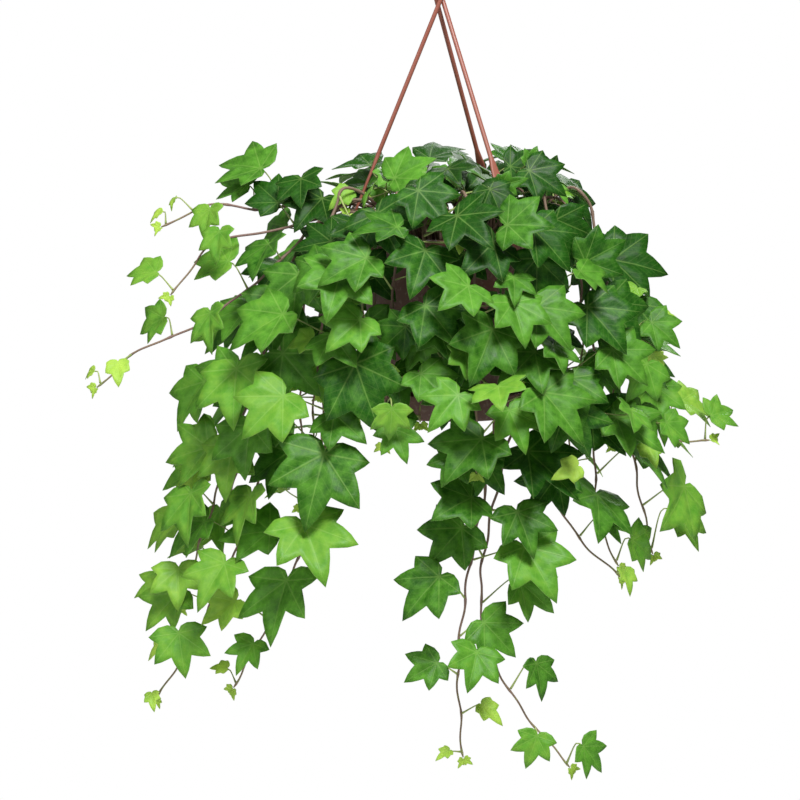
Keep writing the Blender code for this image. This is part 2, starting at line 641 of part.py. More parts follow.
# ---- a vine as one closed skin --------------------------------------------------------------
def square_like(previous, centre, one, two):
    """Four points round a centre, in the order that follows the previous four without a twist."""
    middle = sum(previous, Vector()) / 4
    travel = centre - middle
    spin = (previous[1] - previous[0]).cross(previous[2] - previous[1]).dot(travel)
    if one.cross(two).dot(travel) * spin < 0:
        two = -two
    ring = [centre + one, centre + two, centre - one, centre - two]
    orders = [ring[k:] + ring[:k] for k in range(4)]
    return min(orders, key=lambda order: sum(((p - centre).normalized() - (q - middle).normalized()).length
                                             for p, q in zip(order, previous)))


class Skin:
    """Points and faces being gathered for one mesh."""

    def __init__(self):
        self.points = []
        self.faces = []

    def add(self, points):
        start = len(self.points)
        self.points += points
        return list(range(start, start + len(points)))

    def bridge(self, ring, other):
        count = len(ring)
        for k in range(count):
            n = (k + 1) % count
            self.faces.append((ring[k], ring[n], other[n], other[k]))


def skin_blade(skin, leaf, ring):
    """The blade: a fan over it, and below it faces that close onto the petiole's last ring."""
    outline = leaf.outline()
    rim = skin.add(outline)
    top = skin.add([leaf.joint + leaf.face * BLADE_HALF])[0]
    count = len(rim)
    for i in range(count):
        skin.faces.append((top, rim[i], rim[(i + 1) % count]))

    def nearest(i):
        middle = (outline[i] + outline[(i + 1) % count]) / 2 - leaf.joint
        flat = middle - leaf.face * middle.dot(leaf.face)
        return max(range(4), key=lambda k: (skin.points[ring[k]] - leaf.joint).dot(flat))

    spin = (skin.points[ring[1]] - skin.points[ring[0]]).cross(skin.points[ring[2]] - skin.points[ring[1]])
    step = -1 if spin.dot(leaf.face) > 0 else 1
    owner = nearest(count - 1)
    for i in range(count):
        wanted = nearest(i)
        while owner != wanted:
            following = (owner + step) % 4
            skin.faces.append((ring[owner], ring[following], rim[i]))
            owner = following
        skin.faces.append((ring[owner], rim[i], rim[(i + 1) % count]))


def skin_leaf(skin, leaf, socket):
    """The petiole from the four points of its socket in the stem, and the blade at its end."""
    corners = [skin.points[i] for i in socket]
    axis = (leaf.joint - leaf.start).normalized()
    one = across(axis, leaf.face) * PETIOLE_RADIUS
    bend = square_like(corners, leaf.bend, one, axis.cross(one))
    ring = skin.add(bend)
    skin.bridge(socket, ring)
    half = min(PETIOLE_RADIUS, 0.05 * leaf.size)
    under = leaf.joint - leaf.face * BLADE_HALF
    last = skin.add(square_like(bend, under, leaf.tip * half, leaf.side * half))
    skin.bridge(ring, last)
    skin_blade(skin, leaf, last)


def skin_vine(vine):
    """The whole vine: the stem's rings, with a side left open where each petiole grows out."""
    skin = Skin()
    rings = [skin.add(ring) for ring in vine.rings()]
    stations = vine.stations()
    skin.faces.append(tuple(reversed(rings[0])))
    for i in range(len(rings) - 1):
        leaf = vine.leaves.get(stations[i][1])
        middle = sum((skin.points[p] for p in rings[i] + rings[i + 1]), Vector()) / (2 * STEM_SIDES)
        sides = []
        for k in range(STEM_SIDES):
            n = (k + 1) % STEM_SIDES
            sides.append((rings[i][k], rings[i][n], rings[i + 1][n], rings[i + 1][k]))
        chosen = None
        if leaf:
            lead = leaf.joint - middle
            chosen = max(sides, key=lambda s: sum((skin.points[p] - middle).dot(lead) for p in s))
            skin_leaf(skin, leaf, list(chosen))
        skin.faces += [side for side in sides if side is not chosen]
    skin.faces.append(tuple(rings[-1]))
    return skin.points, skin.faces


# ---- Blender objects ------------------------------------------------------------------------
def material(name, colour, roughness, metallic=0.0):
    made = bpy.data.materials.new(name)
    made.use_nodes = True
    shader = made.node_tree.nodes["Principled BSDF"]
    shader.inputs["Base Color"].default_value = (*colour, 1.0)
    shader.inputs["Roughness"].default_value = roughness
    shader.inputs["Metallic"].default_value = metallic
    return made


def mesh_object(name, points, faces, collection, finish):
    mesh = bpy.data.meshes.new(name)
    mesh.from_pydata([tuple(p) for p in points], [], faces)
    work = bmesh.new()
    work.from_mesh(mesh)
    bmesh.ops.recalc_face_normals(work, faces=work.faces)
    if work.calc_volume(signed=True) < 0:
        bmesh.ops.reverse_faces(work, faces=work.faces)
    work.to_mesh(mesh)
    work.free()
    mesh.materials.append(finish)
    collection.objects.link(bpy.data.objects.new(name, mesh))


def turned(name, profile, closed, steps, collection, finish):
    """A profile in the XZ plane, turned about Z by a Screw modifier, on the pot's axis."""
    mesh = bpy.data.meshes.new(name)
    edges = [(i, i + 1) for i in range(len(profile) - 1)]
    if closed:
        edges.append((len(profile) - 1, 0))
    mesh.from_pydata([(radius, 0.0, z) for radius, z in profile], edges, [])
    mesh.materials.append(finish)
    made = bpy.data.objects.new(name, mesh)
    made.location = POT_AXIS
    collection.objects.link(made)
    screw = made.modifiers.new("Turn", "SCREW")
    screw.axis = "Z"
    screw.steps = steps
    screw.render_steps = steps
    screw.use_merge_vertices = True
    screw.merge_threshold = 0.00001
    return made


def cut_holes(target, name, holes, collection):
    """Round holes, each (centre, radius, height), cut by one hidden object."""
    work = bmesh.new()
    for centre, radius, height in holes:
        bmesh.ops.create_cone(work, cap_ends=True, segments=12, radius1=radius, radius2=radius, depth=height,
                              matrix=Matrix.Translation(centre))
    mesh = bpy.data.meshes.new(name)
    work.to_mesh(mesh)
    work.free()
    cutter = bpy.data.objects.new(name, mesh)
    cutter.hide_render = True
    cutter.display_type = "WIRE"
    collection.objects.link(cutter)
    cut = target.modifiers.new("Holes", "BOOLEAN")
    cut.operation = "DIFFERENCE"
    cut.solver = "EXACT"
    cut.object = cutter


def build_pot(parts, cutters, finish):
    inner = MOUTH_RADIUS - POT_WALL
    hole = STUD_RADIUS + FIT_GAP
    profile = [(inner, RIM_Z), (RIM_RADIUS, RIM_Z), (RIM_RADIUS, RIM_Z - SKIRT_DROP),
               (RIM_RADIUS - SKIRT_WALL, RIM_Z - SKIRT_DROP), (RIM_RADIUS - SKIRT_WALL, RIM_Z - POT_WALL),
               (MOUTH_RADIUS, RIM_Z - POT_WALL), (BASE_RADIUS, POT_FOOT), (hole, POT_FOOT),
               (hole, FLOOR_TOP), (BASE_RADIUS - POT_WALL, FLOOR_TOP)]
    pot = turned("pot", profile, True, 36, parts, finish)
    holes = [(round_pot(b, ARM_CIRCLE, RIM_Z), NECK_RADIUS + FIT_GAP, 4 * POT_WALL) for b in ARMS.values()]
    for i in range(DRAIN_COUNT):
        centre = round_pot(360 * i / DRAIN_COUNT, BASE_RADIUS * 0.6, POT_FOOT)
        holes.append((centre, DRAIN_RADIUS, 4 * POT_WALL))
    cut_holes(pot, "pot_holes_cutter", holes, cutters)


def build_saucer(parts, finish):
    rim = SAUCER_FOOT + SAUCER_HEIGHT
    foot = SAUCER_FOOT_RADIUS
    profile = [(0.0, STUD_TOP), (STUD_HEAD, STUD_TOP), (STUD_HEAD, FLOOR_TOP + FIT_GAP),
               (STUD_RADIUS, FLOOR_TOP + FIT_GAP), (STUD_RADIUS, SAUCER_FLOOR),
               (foot - SAUCER_WALL, SAUCER_FLOOR),
               (SAUCER_RADIUS - SAUCER_WALL, rim), (SAUCER_RADIUS, rim), (foot, SAUCER_FOOT),
               (0.0, SAUCER_FOOT)]
    turned("drip_saucer", profile, False, 32, parts, finish)


def build_soil(parts, finish):
    slope = (MOUTH_RADIUS - BASE_RADIUS) / (POT_HEIGHT - POT_WALL)
    top_radius = MOUTH_RADIUS - POT_WALL - slope * SOIL_DEPTH - 2 * FIT_GAP
    low = FLOOR_TOP + FIT_GAP
    foot = BASE_RADIUS - POT_WALL - 2 * FIT_GAP
    recess = STUD_HEAD + 2 * FIT_GAP
    roof = STUD_TOP + 2 * FIT_GAP
    heap_top = SOIL_TOP + SOIL_CROWN
    profile = [(0.0, heap_top), (MOUTH_RADIUS * HEAP_SHARE, heap_top), (top_radius, SOIL_TOP), (foot, low),
               (recess, low), (recess, roof), (0.0, roof)]
    turned("potting_soil", profile, False, 28, parts, finish)


def hook_points():
    """The collar, shank and hook as one line of (x, z, radius)."""
    points = [(0.0, COLLAR_FOOT, COLLAR_RADIUS), (0.0, -COLLAR_TOP, COLLAR_RADIUS),
              (0.0, SHANK_FOOT, HOOK_WIRE)]
    bend = HOOK_INNER + HOOK_WIRE
    for degrees in range(-60, 211, 18):
        a = math.radians(degrees)
        points.append((bend * math.cos(a), bend * math.sin(a) - HOOK_INNER, HOOK_WIRE))
    return points


def build_hook(parts, cutters, finish):
    curve = bpy.data.curves.new("hanger_hook_line", "CURVE")
    curve.dimensions = "3D"
    curve.bevel_depth = 1.0
    curve.bevel_resolution = 3
    curve.use_fill_caps = True
    line = curve.splines.new("POLY")
    points = hook_points()
    line.points.add(len(points) - 1)
    for target, (x, z, radius) in zip(line.points, points):
        target.co = (x, 0.0, z, 1.0)
        target.radius = radius
    drawn = bpy.data.objects.new("hanger_hook_line", curve)
    parts.objects.link(drawn)
    bpy.context.view_layer.update()
    mesh = bpy.data.meshes.new_from_object(drawn.evaluated_get(bpy.context.evaluated_depsgraph_get()))
    work = bmesh.new()
    work.from_mesh(mesh)
    bmesh.ops.remove_doubles(work, verts=work.verts, dist=0.00001)
    work.to_mesh(mesh)
    work.free()
    bpy.data.objects.remove(drawn)
    hook = bpy.data.objects.new("hanger_hook", mesh)
    mesh.materials.clear()
    mesh.materials.append(finish)
    parts.objects.link(hook)
    sockets = []
    for bearing in ARMS.values():
        a = math.radians(bearing) + ARM_TWIST
        centre = Vector((SOCKET_CIRCLE * math.cos(a), SOCKET_CIRCLE * math.sin(a), COLLAR_FOOT))
        sockets.append((centre, ARM_RADIUS + FIT_GAP, 2 * SOCKET_DEPTH))
    cut_holes(hook, "collar_sockets_cutter", sockets, cutters)


def shade(collection):
    """Smooth faces with sharp edges kept where they turn strongly."""
    for made in collection.objects:
        made.data.shade_smooth()
        made.data.set_sharp_from_angle(angle=math.radians(35))


def new_collection(name):
    made = bpy.data.collections.new(name)
    bpy.context.scene.collection.children.link(made)
    return made


def main():
    for old in list(bpy.data.objects):
        bpy.data.objects.remove(old)
    parts = new_collection("potted_ivy")
    cutters = new_collection("cutters")
    pot_plastic = material("pot_plastic", (0.145, 0.048, 0.026), 0.50)
    hanger_plastic = material("hanger_plastic", (0.190, 0.072, 0.036), 0.42)
    soil = material("potting_soil", (0.020, 0.012, 0.008), 0.95)
    ivy = material("ivy_leaf", (0.052, 0.165, 0.030), 0.45)
    build_pot(parts, cutters, pot_plastic)
    build_saucer(parts, pot_plastic)
    build_soil(parts, soil)
    build_hook(parts, cutters, hanger_plastic)
    for name, bearing in ARMS.items():
        points, faces = loft(arm_rings(bearing))
        mesh_object(f"hanger_arm_{name}", points, faces, parts, hanger_plastic)
    for name, vine in grow_plant().items():
        points, faces = skin_vine(vine)
        mesh_object(name, points, faces, parts, ivy)
    shade(parts)


main()
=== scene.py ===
"""The potted ivy as it looks: glossy lobed leaves with pale veins on many trailing vines, in their
moulded hanging pot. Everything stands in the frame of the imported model: metres, +Z up, -Y front.
"""
import math
import random

import bmesh
import bpy
import numpy as np
from mathutils import Matrix, Vector
from mathutils.bvhtree import BVHTree


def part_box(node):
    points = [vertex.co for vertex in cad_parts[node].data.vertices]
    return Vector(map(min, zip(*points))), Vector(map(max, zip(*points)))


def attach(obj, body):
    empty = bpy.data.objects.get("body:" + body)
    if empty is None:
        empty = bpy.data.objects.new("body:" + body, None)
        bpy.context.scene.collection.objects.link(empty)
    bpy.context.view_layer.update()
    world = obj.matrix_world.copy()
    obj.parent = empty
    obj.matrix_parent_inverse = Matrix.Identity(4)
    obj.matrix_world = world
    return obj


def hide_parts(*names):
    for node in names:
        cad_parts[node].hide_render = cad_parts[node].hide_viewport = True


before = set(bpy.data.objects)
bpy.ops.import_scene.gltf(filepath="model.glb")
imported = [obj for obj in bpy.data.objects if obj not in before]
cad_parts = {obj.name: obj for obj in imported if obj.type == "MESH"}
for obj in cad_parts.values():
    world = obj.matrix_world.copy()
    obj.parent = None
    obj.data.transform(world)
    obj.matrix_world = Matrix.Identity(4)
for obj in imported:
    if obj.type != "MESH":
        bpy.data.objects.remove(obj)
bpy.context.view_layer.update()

# ---- driving dimensions -------------------------------------------------------------------
FIT_GAP = 0.0004             # clearance between pieces that seat on or in each other

HANG_HEIGHT = 0.224          # the hook's bearing point down to the pot's rim
POT_SHIFT = 0.010            # the pot hangs this far to the right, balancing the long left vines
POT_HEIGHT = 0.128
RIM_RADIUS = 0.0795
FLANGE_WIDTH = 0.0095        # rim flange outside the wall
BASE_RADIUS = 0.0520
POT_WALL = 0.0022
SKIRT_DROP = 0.0100          # the rim flange turns down this far
SKIRT_WALL = 0.0018
DRAIN_RADIUS = 0.0035
DRAIN_COUNT = 6
SOIL_DEPTH = 0.014           # soil surface below the rim
SOIL_CROWN = 0.0035          # how far the soil is heaped where the vines are rooted
ROOT_ROOM = 0.0009           # how far above the heap the middle of a vine's foot is, since it leans
HEAP_SHARE = 0.78            # share of the mouth's radius that the level top of the heap takes

SAUCER_ROOM = 0.0080         # from the pot's foot out to the saucer's
SAUCER_FLARE = 0.0040
SAUCER_HEIGHT = 0.0180
SAUCER_WALL = 0.0020
STUD_RADIUS = 0.0040         # the saucer's stud, which snaps through the pot's floor
STUD_LIP = 0.0012
STUD_HEAD_HEIGHT = 0.0020

HOOK_INNER = 0.0110
HOOK_WIRE = 0.0026
COLLAR_WALL = 0.0018         # outside the arms' sockets
COLLAR_TOP = 0.0360          # below the bearing point
COLLAR_HEIGHT = 0.0105
COLLAR_TAPER = 0.0035        # from the collar's edge up to the hook's wire
SOCKET_DEPTH = 0.0060
SOCKET_SPACE = 0.0039        # from the collar's middle to the nearest side of an arm
ARM_RADIUS = 0.0017
STRAP_WIDTH = 0.0066
STRAP_THICKNESS = 0.0022
STRAP_START = 0.70           # shares of an arm's length at which it starts to widen,
STRAP_FULL = 0.78            # is a full strap
STRAP_END = 0.97             # and narrows to its neck
STRAP_RISE = 0.007           # of the strap's end above the rim
ROD_OVERLAP = 0.001          # how far below the collar's foot an arm's line starts
NECK_RADIUS = 0.0015
NECK_RISE = 0.0020           # how far above the rim the neck starts
FOOT_LIP = 0.0011            # how much wider the foot is than the neck above it
FOOT_HEIGHT = 0.0026
FOOT_EDGE = 0.0003           # how far below the flange the foot has widened
FOOT_TAPER = 0.8             # the foot's lower end, to its width
ARM_TWIST = math.radians(150)               # an arm's socket is this far round from its foot
ARMS = {"left": 184, "front": -56, "back": 64}      # bearings round the pot
ARM_SEEN = {"left": 8, "front": 7, "back": 7}       # rings of each arm that leaves keep off

STEM_RADIUS = 0.0015
TIP_RADIUS = 0.0008
STEM_SIDES = 3
PETIOLE_RADIUS = 0.0006
BEND_DOWN = 0.23             # a petiole's bend, in shares of its reach: below the blade
BEND_BACK = 0.165            # and back from it
NODE_HALF = 0.0012           # half the length of stem that a petiole grows from
SOCKET_SPREAD = 0.0012       # how much wider a petiole is at its foot
BLADE_HALF = 0.0006          # half the blade's thickness at the petiole
BLADE_FOLD = 0.16            # rise to the sides, as a share of the width
BLADE_DROOP = 0.16           # fall towards the tip, as a share of the length
CLEARANCE = 0.0006           # free space kept around each new stem and leaf
PROBE_SPREAD = 1.04          # how much wider than its blade a leaf's free space is,
PROBE_RISE = 1.5             # and how much deeper it is at the petiole than at the edge
ROOM = 0.001                 # free space kept around the pot, saucer and soil
WANDER = 0.0011              # how far a stem strays to the sides as it grows,
WANDER_TURNS = (0.95, 0.80)  # and how many radians of a wave from one point to the next, each way
STEM_STEP = 0.006            # between the points that a stem's line is drawn through
RING_STEP = 0.014            # between a stem's rings where it carries no leaf
BARE_SHARE = 0.16            # share of a stem's length below its first leaf
BARE_TIP = 0.004
LEAF_TRIES = 320
SMALLEST_SHARE = 0.58        # how far a leaf shrinks, at its last try, to find room

# ---- places that follow from them -----------------------------------------------------------
RIM_Z = -HANG_HEIGHT
POT_FOOT = RIM_Z - POT_HEIGHT
MOUTH_RADIUS = RIM_RADIUS - FLANGE_WIDTH
FLOOR_TOP = POT_FOOT + POT_WALL
STUD_TOP = FLOOR_TOP + FIT_GAP + STUD_HEAD_HEIGHT
SAUCER_FLOOR = POT_FOOT - FIT_GAP
SAUCER_FOOT = SAUCER_FLOOR - SAUCER_WALL
SOIL_TOP = RIM_Z - SOIL_DEPTH
ARM_CIRCLE = (MOUTH_RADIUS + RIM_RADIUS - SKIRT_WALL) / 2
SAUCER_FOOT_RADIUS = BASE_RADIUS + SAUCER_ROOM
SAUCER_RADIUS = SAUCER_FOOT_RADIUS + SAUCER_FLARE
STUD_HEAD = STUD_RADIUS + STUD_LIP
FOOT_RADIUS = NECK_RADIUS + FOOT_LIP
UNDER_FLANGE = RIM_Z - POT_WALL - FIT_GAP
SOCKET_CIRCLE = ARM_RADIUS + SOCKET_SPACE
COLLAR_RADIUS = SOCKET_CIRCLE + ARM_RADIUS + FIT_GAP + COLLAR_WALL
COLLAR_FOOT = -COLLAR_TOP - COLLAR_HEIGHT
ARM_TOP = COLLAR_FOOT + SOCKET_DEPTH - FIT_GAP
SHANK_FOOT = COLLAR_TAPER - COLLAR_TOP
POT_AXIS = Vector((POT_SHIFT, 0.0, 0.0))

# ---- the vines ------------------------------------------------------------------------------
# A route is listed: bearing round the pot in degrees (0 right, -90 front), reach beyond
# the rim and rise above it. The leaf lengths run from the pot to the growing tip.
TRAILS = {
    "left_high": ([(180, 0.020, 0.022), (180, 0.060, 0.016), (181, 0.095, 0.020), (182, 0.130, 0.004)],
                  [0.030, 0.034, 0.030, 0.040, 0.030, 0.024, 0.018, 0.012]),
    "left_arc": ([(187, 0.015, 0.012), (188, 0.055, 0.002), (189, 0.095, -0.008), (190, 0.125, -0.040)],
                 [0.030, 0.028, 0.024, 0.024]),
    "left_low": ([(190, 0.020, 0.010), (192, 0.050, -0.030), (190, 0.105, -0.060), (188, 0.150, -0.086),
                  (187, 0.182, -0.112)],
                 [0.034, 0.036, 0.034, 0.032, 0.030, 0.026, 0.020, 0.012]),
    "left_outer": ([(185, 0.018, 0.008), (187, 0.044, -0.035), (188, 0.072, -0.105), (188, 0.095, -0.190),
                    (186, 0.110, -0.265)],
                   [0.034, 0.038, 0.040, 0.040, 0.042, 0.042, 0.046, 0.040, 0.042, 0.038, 0.040, 0.036, 0.032,
                    0.026]),
    "left_rear": ([(172, 0.014, 0.010), (173, 0.040, -0.040), (176, 0.062, -0.120), (178, 0.085, -0.205),
                   (179, 0.092, -0.270)],
                  [0.034, 0.036, 0.038, 0.040, 0.040, 0.040, 0.042, 0.038, 0.040, 0.038, 0.036, 0.030,
                   0.024]),
    "left_middle": ([(200, 0.015, 0.010), (202, 0.044, -0.045), (200, 0.060, -0.130), (198, 0.078, -0.210),
                     (194, 0.105, -0.275), (191, 0.138, -0.335)],
                    [0.036, 0.040, 0.042, 0.042, 0.044, 0.040, 0.042, 0.040, 0.040, 0.038, 0.038, 0.036,
                     0.034, 0.020, 0.014]),
    "left_inner": ([(225, 0.015, 0.010), (227, 0.042, -0.050), (223, 0.042, -0.130), (219, 0.050, -0.200),
                    (210, 0.065, -0.260), (203, 0.092, -0.322)],
                   [0.040, 0.040, 0.044, 0.044, 0.050, 0.044, 0.054, 0.044, 0.048, 0.038, 0.050, 0.030, 0.026,
                    0.014]),
    "front_long": ([(-70, 0.012, 0.010), (-72, 0.030, -0.060), (-76, 0.025, -0.150), (-84, 0.020, -0.230),
                    (-88, 0.015, -0.300), (-86, 0.015, -0.366)],
                   [0.038, 0.038, 0.040, 0.042, 0.046, 0.042, 0.048, 0.036, 0.044, 0.038, 0.034, 0.026, 0.020,
                    0.012]),
    "right_long": ([(-56, 0.014, 0.012), (-57, 0.025, -0.060), (-66, 0.020, -0.150), (-77, 0.010, -0.240),
                    (-73, 0.012, -0.300), (-60, 0.022, -0.340), (-46, 0.048, -0.370)],
                   [0.038, 0.040, 0.042, 0.044, 0.040, 0.038, 0.036, 0.038, 0.034, 0.032, 0.026, 0.024,
                    0.026]),
    "right_inner": ([(-38, 0.012, 0.012), (-40, 0.022, -0.060), (-45, 0.015, -0.150), (-35, 0.022, -0.205),
                     (-22, 0.050, -0.245)],
                    [0.038, 0.038, 0.042, 0.040, 0.042, 0.036, 0.028, 0.020]),
    "right_middle": ([(-15, 0.006, 0.012), (-17, 0.024, -0.050), (-18, 0.028, -0.140), (-18, 0.030, -0.200),
                      (-15, 0.045, -0.240)],
                     [0.036, 0.038, 0.044, 0.040, 0.042, 0.038, 0.044, 0.046, 0.030]),
    "right_outer": ([(0, 0.004, 0.012), (0, 0.028, -0.045), (0, 0.050, -0.110), (-1, 0.082, -0.150),
                     (-1, 0.108, -0.152)],
                    [0.036, 0.038, 0.040, 0.038, 0.040, 0.036, 0.032, 0.024]),
    "right_back": ([(18, 0.004, 0.014), (16, 0.028, -0.040), (11, 0.048, -0.120), (8, 0.060, -0.190),
                    (5, 0.070, -0.240)],
                   [0.036, 0.036, 0.038, 0.036, 0.040, 0.038, 0.044, 0.046, 0.040]),
    "right_high": ([(30, -0.032, 0.036), (26, -0.014, 0.040), (20, 0.006, 0.020)],
                   [0.034, 0.042, 0.030, 0.028, 0.024]),
    "right_low": ([(-6, 0.002, 0.014), (-6, 0.032, -0.034), (-4, 0.070, -0.072)],
                  [0.036, 0.036, 0.036, 0.030, 0.016]),
}
ROOT_SHARES = (0.50, 0.72)       # where trails root, in shares of the mouth's radius
CREST_SHARE = 0.90               # where they start over the rim
CREST_RISES = (0.010, 0.022)     # above the rim
ROOT_SWAY = 6                    # degrees by which a root may be off its trail's bearing
STEM_TRIES = 80                  # a stem that touches something is nudged this much more at each try
STEM_NUDGE = 0.0006
SHOOT_START = 0.5                # share of its reach at which a shoot crosses the rim
SHOOT_END = 0.005                # how much further out than its reach it ends
SHOOT_SWAY_FRONT = 3             # degrees
SHOOT_SWAY_BACK = 2
SHOOT_RISE = 0.012               # how high a shoot crosses the rim
SHOOT_LAYER = 0.010              # and how much higher the shoots further out do
SWING_SHARE = 0.35               # share of its drop at which a shoot starts to hang straight
BACK_VINES = 7
BACK_FIRST = 42                  # bearings of the first and last of the vines behind
BACK_LAST = 150
BACK_DROP = 0.115                # the least that the vines behind hang down
BACK_SIDE_DROP = 0.130           # what is added to that at the sides
BACK_REACHES = (0.035, 0.065)
BACK_LEAST = 4                   # leaves, and one more for each of the next length
BACK_SPACING = 0.060
BACK_LEAVES = (0.032, 0.042)     # least and most leaf length
BACK_TIP_LEAF = 0.018
FRONT_VINES = 15                 # short shoots that cover the pot's front, by bearing
FRONT_FIRST = 196
FRONT_LAST = 336
FRONT_DROPS = (0.125, 0.090, 0.148)     # in turn, the shoots further out hanging lower
FRONT_VARIES = 0.012
FRONT_REACH = 0.014
FRONT_LAYER = 0.013
FRONT_SPACING = 0.015            # a leaf for each of this length
FRONT_LEAVES = (0.030, 0.041)
FRONT_TIP_LEAF = 0.026
CROWN_VINES = 13
CROWN_RISE = 0.036
CROWN_DOME = 0.55                # how much lower the outer shoots of the crown are
CROWN_FOOT = 0.62                # where a crown shoot grows from the soil, bends and ends,
CROWN_BEND = 0.80                # in shares of the mouth's radius
CROWN_END = 1.05
CROWN_SPILL = 0.016              # and how much further out it ends
CROWN_BEND_RISE = 0.70           # how high it bends, in shares of its rise
CROWN_SWAY = 12                  # degrees
CROWN_COUNT = 7                  # leaves on each, besides the last
CROWN_LEAVES = (0.030, 0.040)
CROWN_TIP_LEAF = 0.024
CROWN_TOP = 0.052                # no petiole ends higher above the rim than this
STRAYS = ("left_high", "left_arc", "left_low")      # trails that reach out of the dome of the rest
DOME_REACH = 0.028               # how far beyond the rim, at the sides, the petioles end level with it
DOME_SLOPE = 0.75                # how much further for each metre below it
DOME_DEPTH = 1.45                # how much deeper the dome is from front to back than it is wide
GOLDEN_ANGLE = 137.5
ARM_FRONT = Vector((0.0, -0.120, 0.010))    # how far in front of an arm it is kept free of leaves
LIGHT = Vector((0.10, -0.66, 0.72)).normalized()    # leaves turn towards the light
SKIPPED_SHARE = 0.35             # share of a petiole, next to its own stem, that may be near that stem
LOOSE_FIRST = 0.40               # how far a leaf's first try strays from the directions below
LOOSE_MORE = 1.0                 # and what is added to that by the last try
LEAD_OUT, LEAD_LIGHT, LEAD_SIDE = 0.5, 0.35, 0.75   # a petiole leads outwards, to the light, sideways
FACE_OUT, FACE_LIGHT = 0.45, 0.75                   # a blade faces outwards and to the light
FACE_LOOSE = 0.8                 # how much less a blade's facing strays than its petiole
HANG_OUT, HANG_SIDE = 0.35, 0.55                    # a blade's tip points outwards and sideways
SHORTEST_PETIOLE = 0.003         # what is added to each petiole's share of its leaf's length
LEAST_OPEN = 0.15                # least cosine between a petiole and the way its blade faces
TRIES_A_SIDE = 6                 # after so many tries a leaf is tried on its stem's other side

# Half of a leaf's outline, in lengths from where the petiole joins: (towards tip, to the side).
LOBED = [(-0.07, 0.0), (-0.18, 0.28), (-0.03, 0.60), (0.20, 0.45), (0.61, 0.61), (0.55, 0.24), (1.0, 0.0)]
YOUNG = [(-0.07, 0.0), (-0.08, 0.38), (0.34, 0.46), (0.50, 0.22), (1.0, 0.0)]
YOUNG_BELOW = 0.023


class Habit:
    """How a kind of vine holds its leaves."""

    def __init__(self, rise, tilt, hang, stalk, stretch, lean, domed=True):
        self.rise = rise            # how much its petioles reach upwards
        self.tilt = tilt            # how much its blades face upwards, besides the light
        self.hang = hang            # how much their tips point down
        self.stalk = stalk          # least and most petiole length, in leaf lengths
        self.stretch = stretch      # what is added to that by the last try
        self.lean = lean            # how far a petiole may lie along its stem
        self.domed = domed          # whether its petioles end inside the plant's dome


TRAILING = Habit(0.30, 0.00, 0.62, (0.55, 0.95), 0.8, 0.72)
STRAYING = Habit(0.30, 0.00, 0.62, (0.50, 0.80), 0.5, 0.72, domed=False)
SHOOTING = Habit(0.40, 0.25, 0.60, (0.55, 1.05), 0.8, 0.72)
CROWNING = Habit(0.50, 0.55, 0.25, (0.60, 1.50), 0.0, 0.78)


# ---- curves through chosen points -----------------------------------------------------------
def smooth(points, spacing):
    """Samples of a Catmull-Rom curve through the points, about one every spacing."""
    ends = [2 * points[0] - points[1]] + points + [2 * points[-1] - points[-2]]
    samples = []
    for a, b, c, d in zip(ends, ends[1:], ends[2:], ends[3:]):
        count = max(1, round((c - b).length / spacing))
        for i in range(count):
            t = i / count
            samples.append(0.5 * (2 * b + (c - a) * t + (2 * a - 5 * b + 4 * c - d) * t * t
                                  + (3 * b - a - 3 * c + d) * t ** 3))
    samples.append(points[-1].copy())
    return samples


def along(samples, distance):
    """The place and direction at a distance along the samples."""
    for a, b in zip(samples, samples[1:]):
        step = (b - a).length
        if distance <= step:
            return a.lerp(b, distance / step), (b - a).normalized()
        distance -= step
    return samples[-1].copy(), (samples[-1] - samples[-2]).normalized()


def length_of(samples):
    return sum((b - a).length for a, b in zip(samples, samples[1:]))


def across(direction, hint):
    """The part of hint square to a direction, at unit length."""
    flat = hint - direction * hint.dot(direction)
    if flat.length < 1e-4:
        flat = direction.orthogonal()
    return flat.normalized()


def loft(rings):
    """A closed skin over rings of equally many points: points and faces."""
    points = [p for ring in rings for p in ring]
    sides = len(rings[0])
    faces = [tuple(reversed(range(sides)))]
    for i in range(len(rings) - 1):
        for k in range(sides):
            n = (k + 1) % sides
            faces.append((i * sides + k, i * sides + n, (i + 1) * sides + n, (i + 1) * sides + k))
    last = (len(rings) - 1) * sides
    faces.append(tuple(range(last, last + sides)))
    return points, faces


def oval(centre, wide, thin, sides):
    """Points round an ellipse: the centre, plus the half width by the cosine and the other by the sine."""
    turn = 2 * math.pi / sides
    return [centre + wide * math.cos(k * turn) + thin * math.sin(k * turn) for k in range(sides)]


# ---- hanger arms ----------------------------------------------------------------------------
def round_pot(bearing, radius, z):
    """The place at a bearing in degrees and a radius from the pot's axis."""
    a = math.radians(bearing)
    return POT_AXIS + Vector((radius * math.cos(a), radius * math.sin(a), z))


def arm_places(bearing):
    """An arm's directions, outwards and to its side, and the ends of its line: top and foot."""
    a = math.radians(bearing)
    outward = Vector((math.cos(a), math.sin(a), 0.0))
    tangent = Vector((-math.sin(a), math.cos(a), 0.0))
    top = Matrix.Rotation(ARM_TWIST, 3, "Z") @ outward * SOCKET_CIRCLE
    top.z = COLLAR_FOOT - ROD_OVERLAP
    return outward, tangent, top, round_pot(bearing, ARM_CIRCLE, RIM_Z + STRAP_RISE)


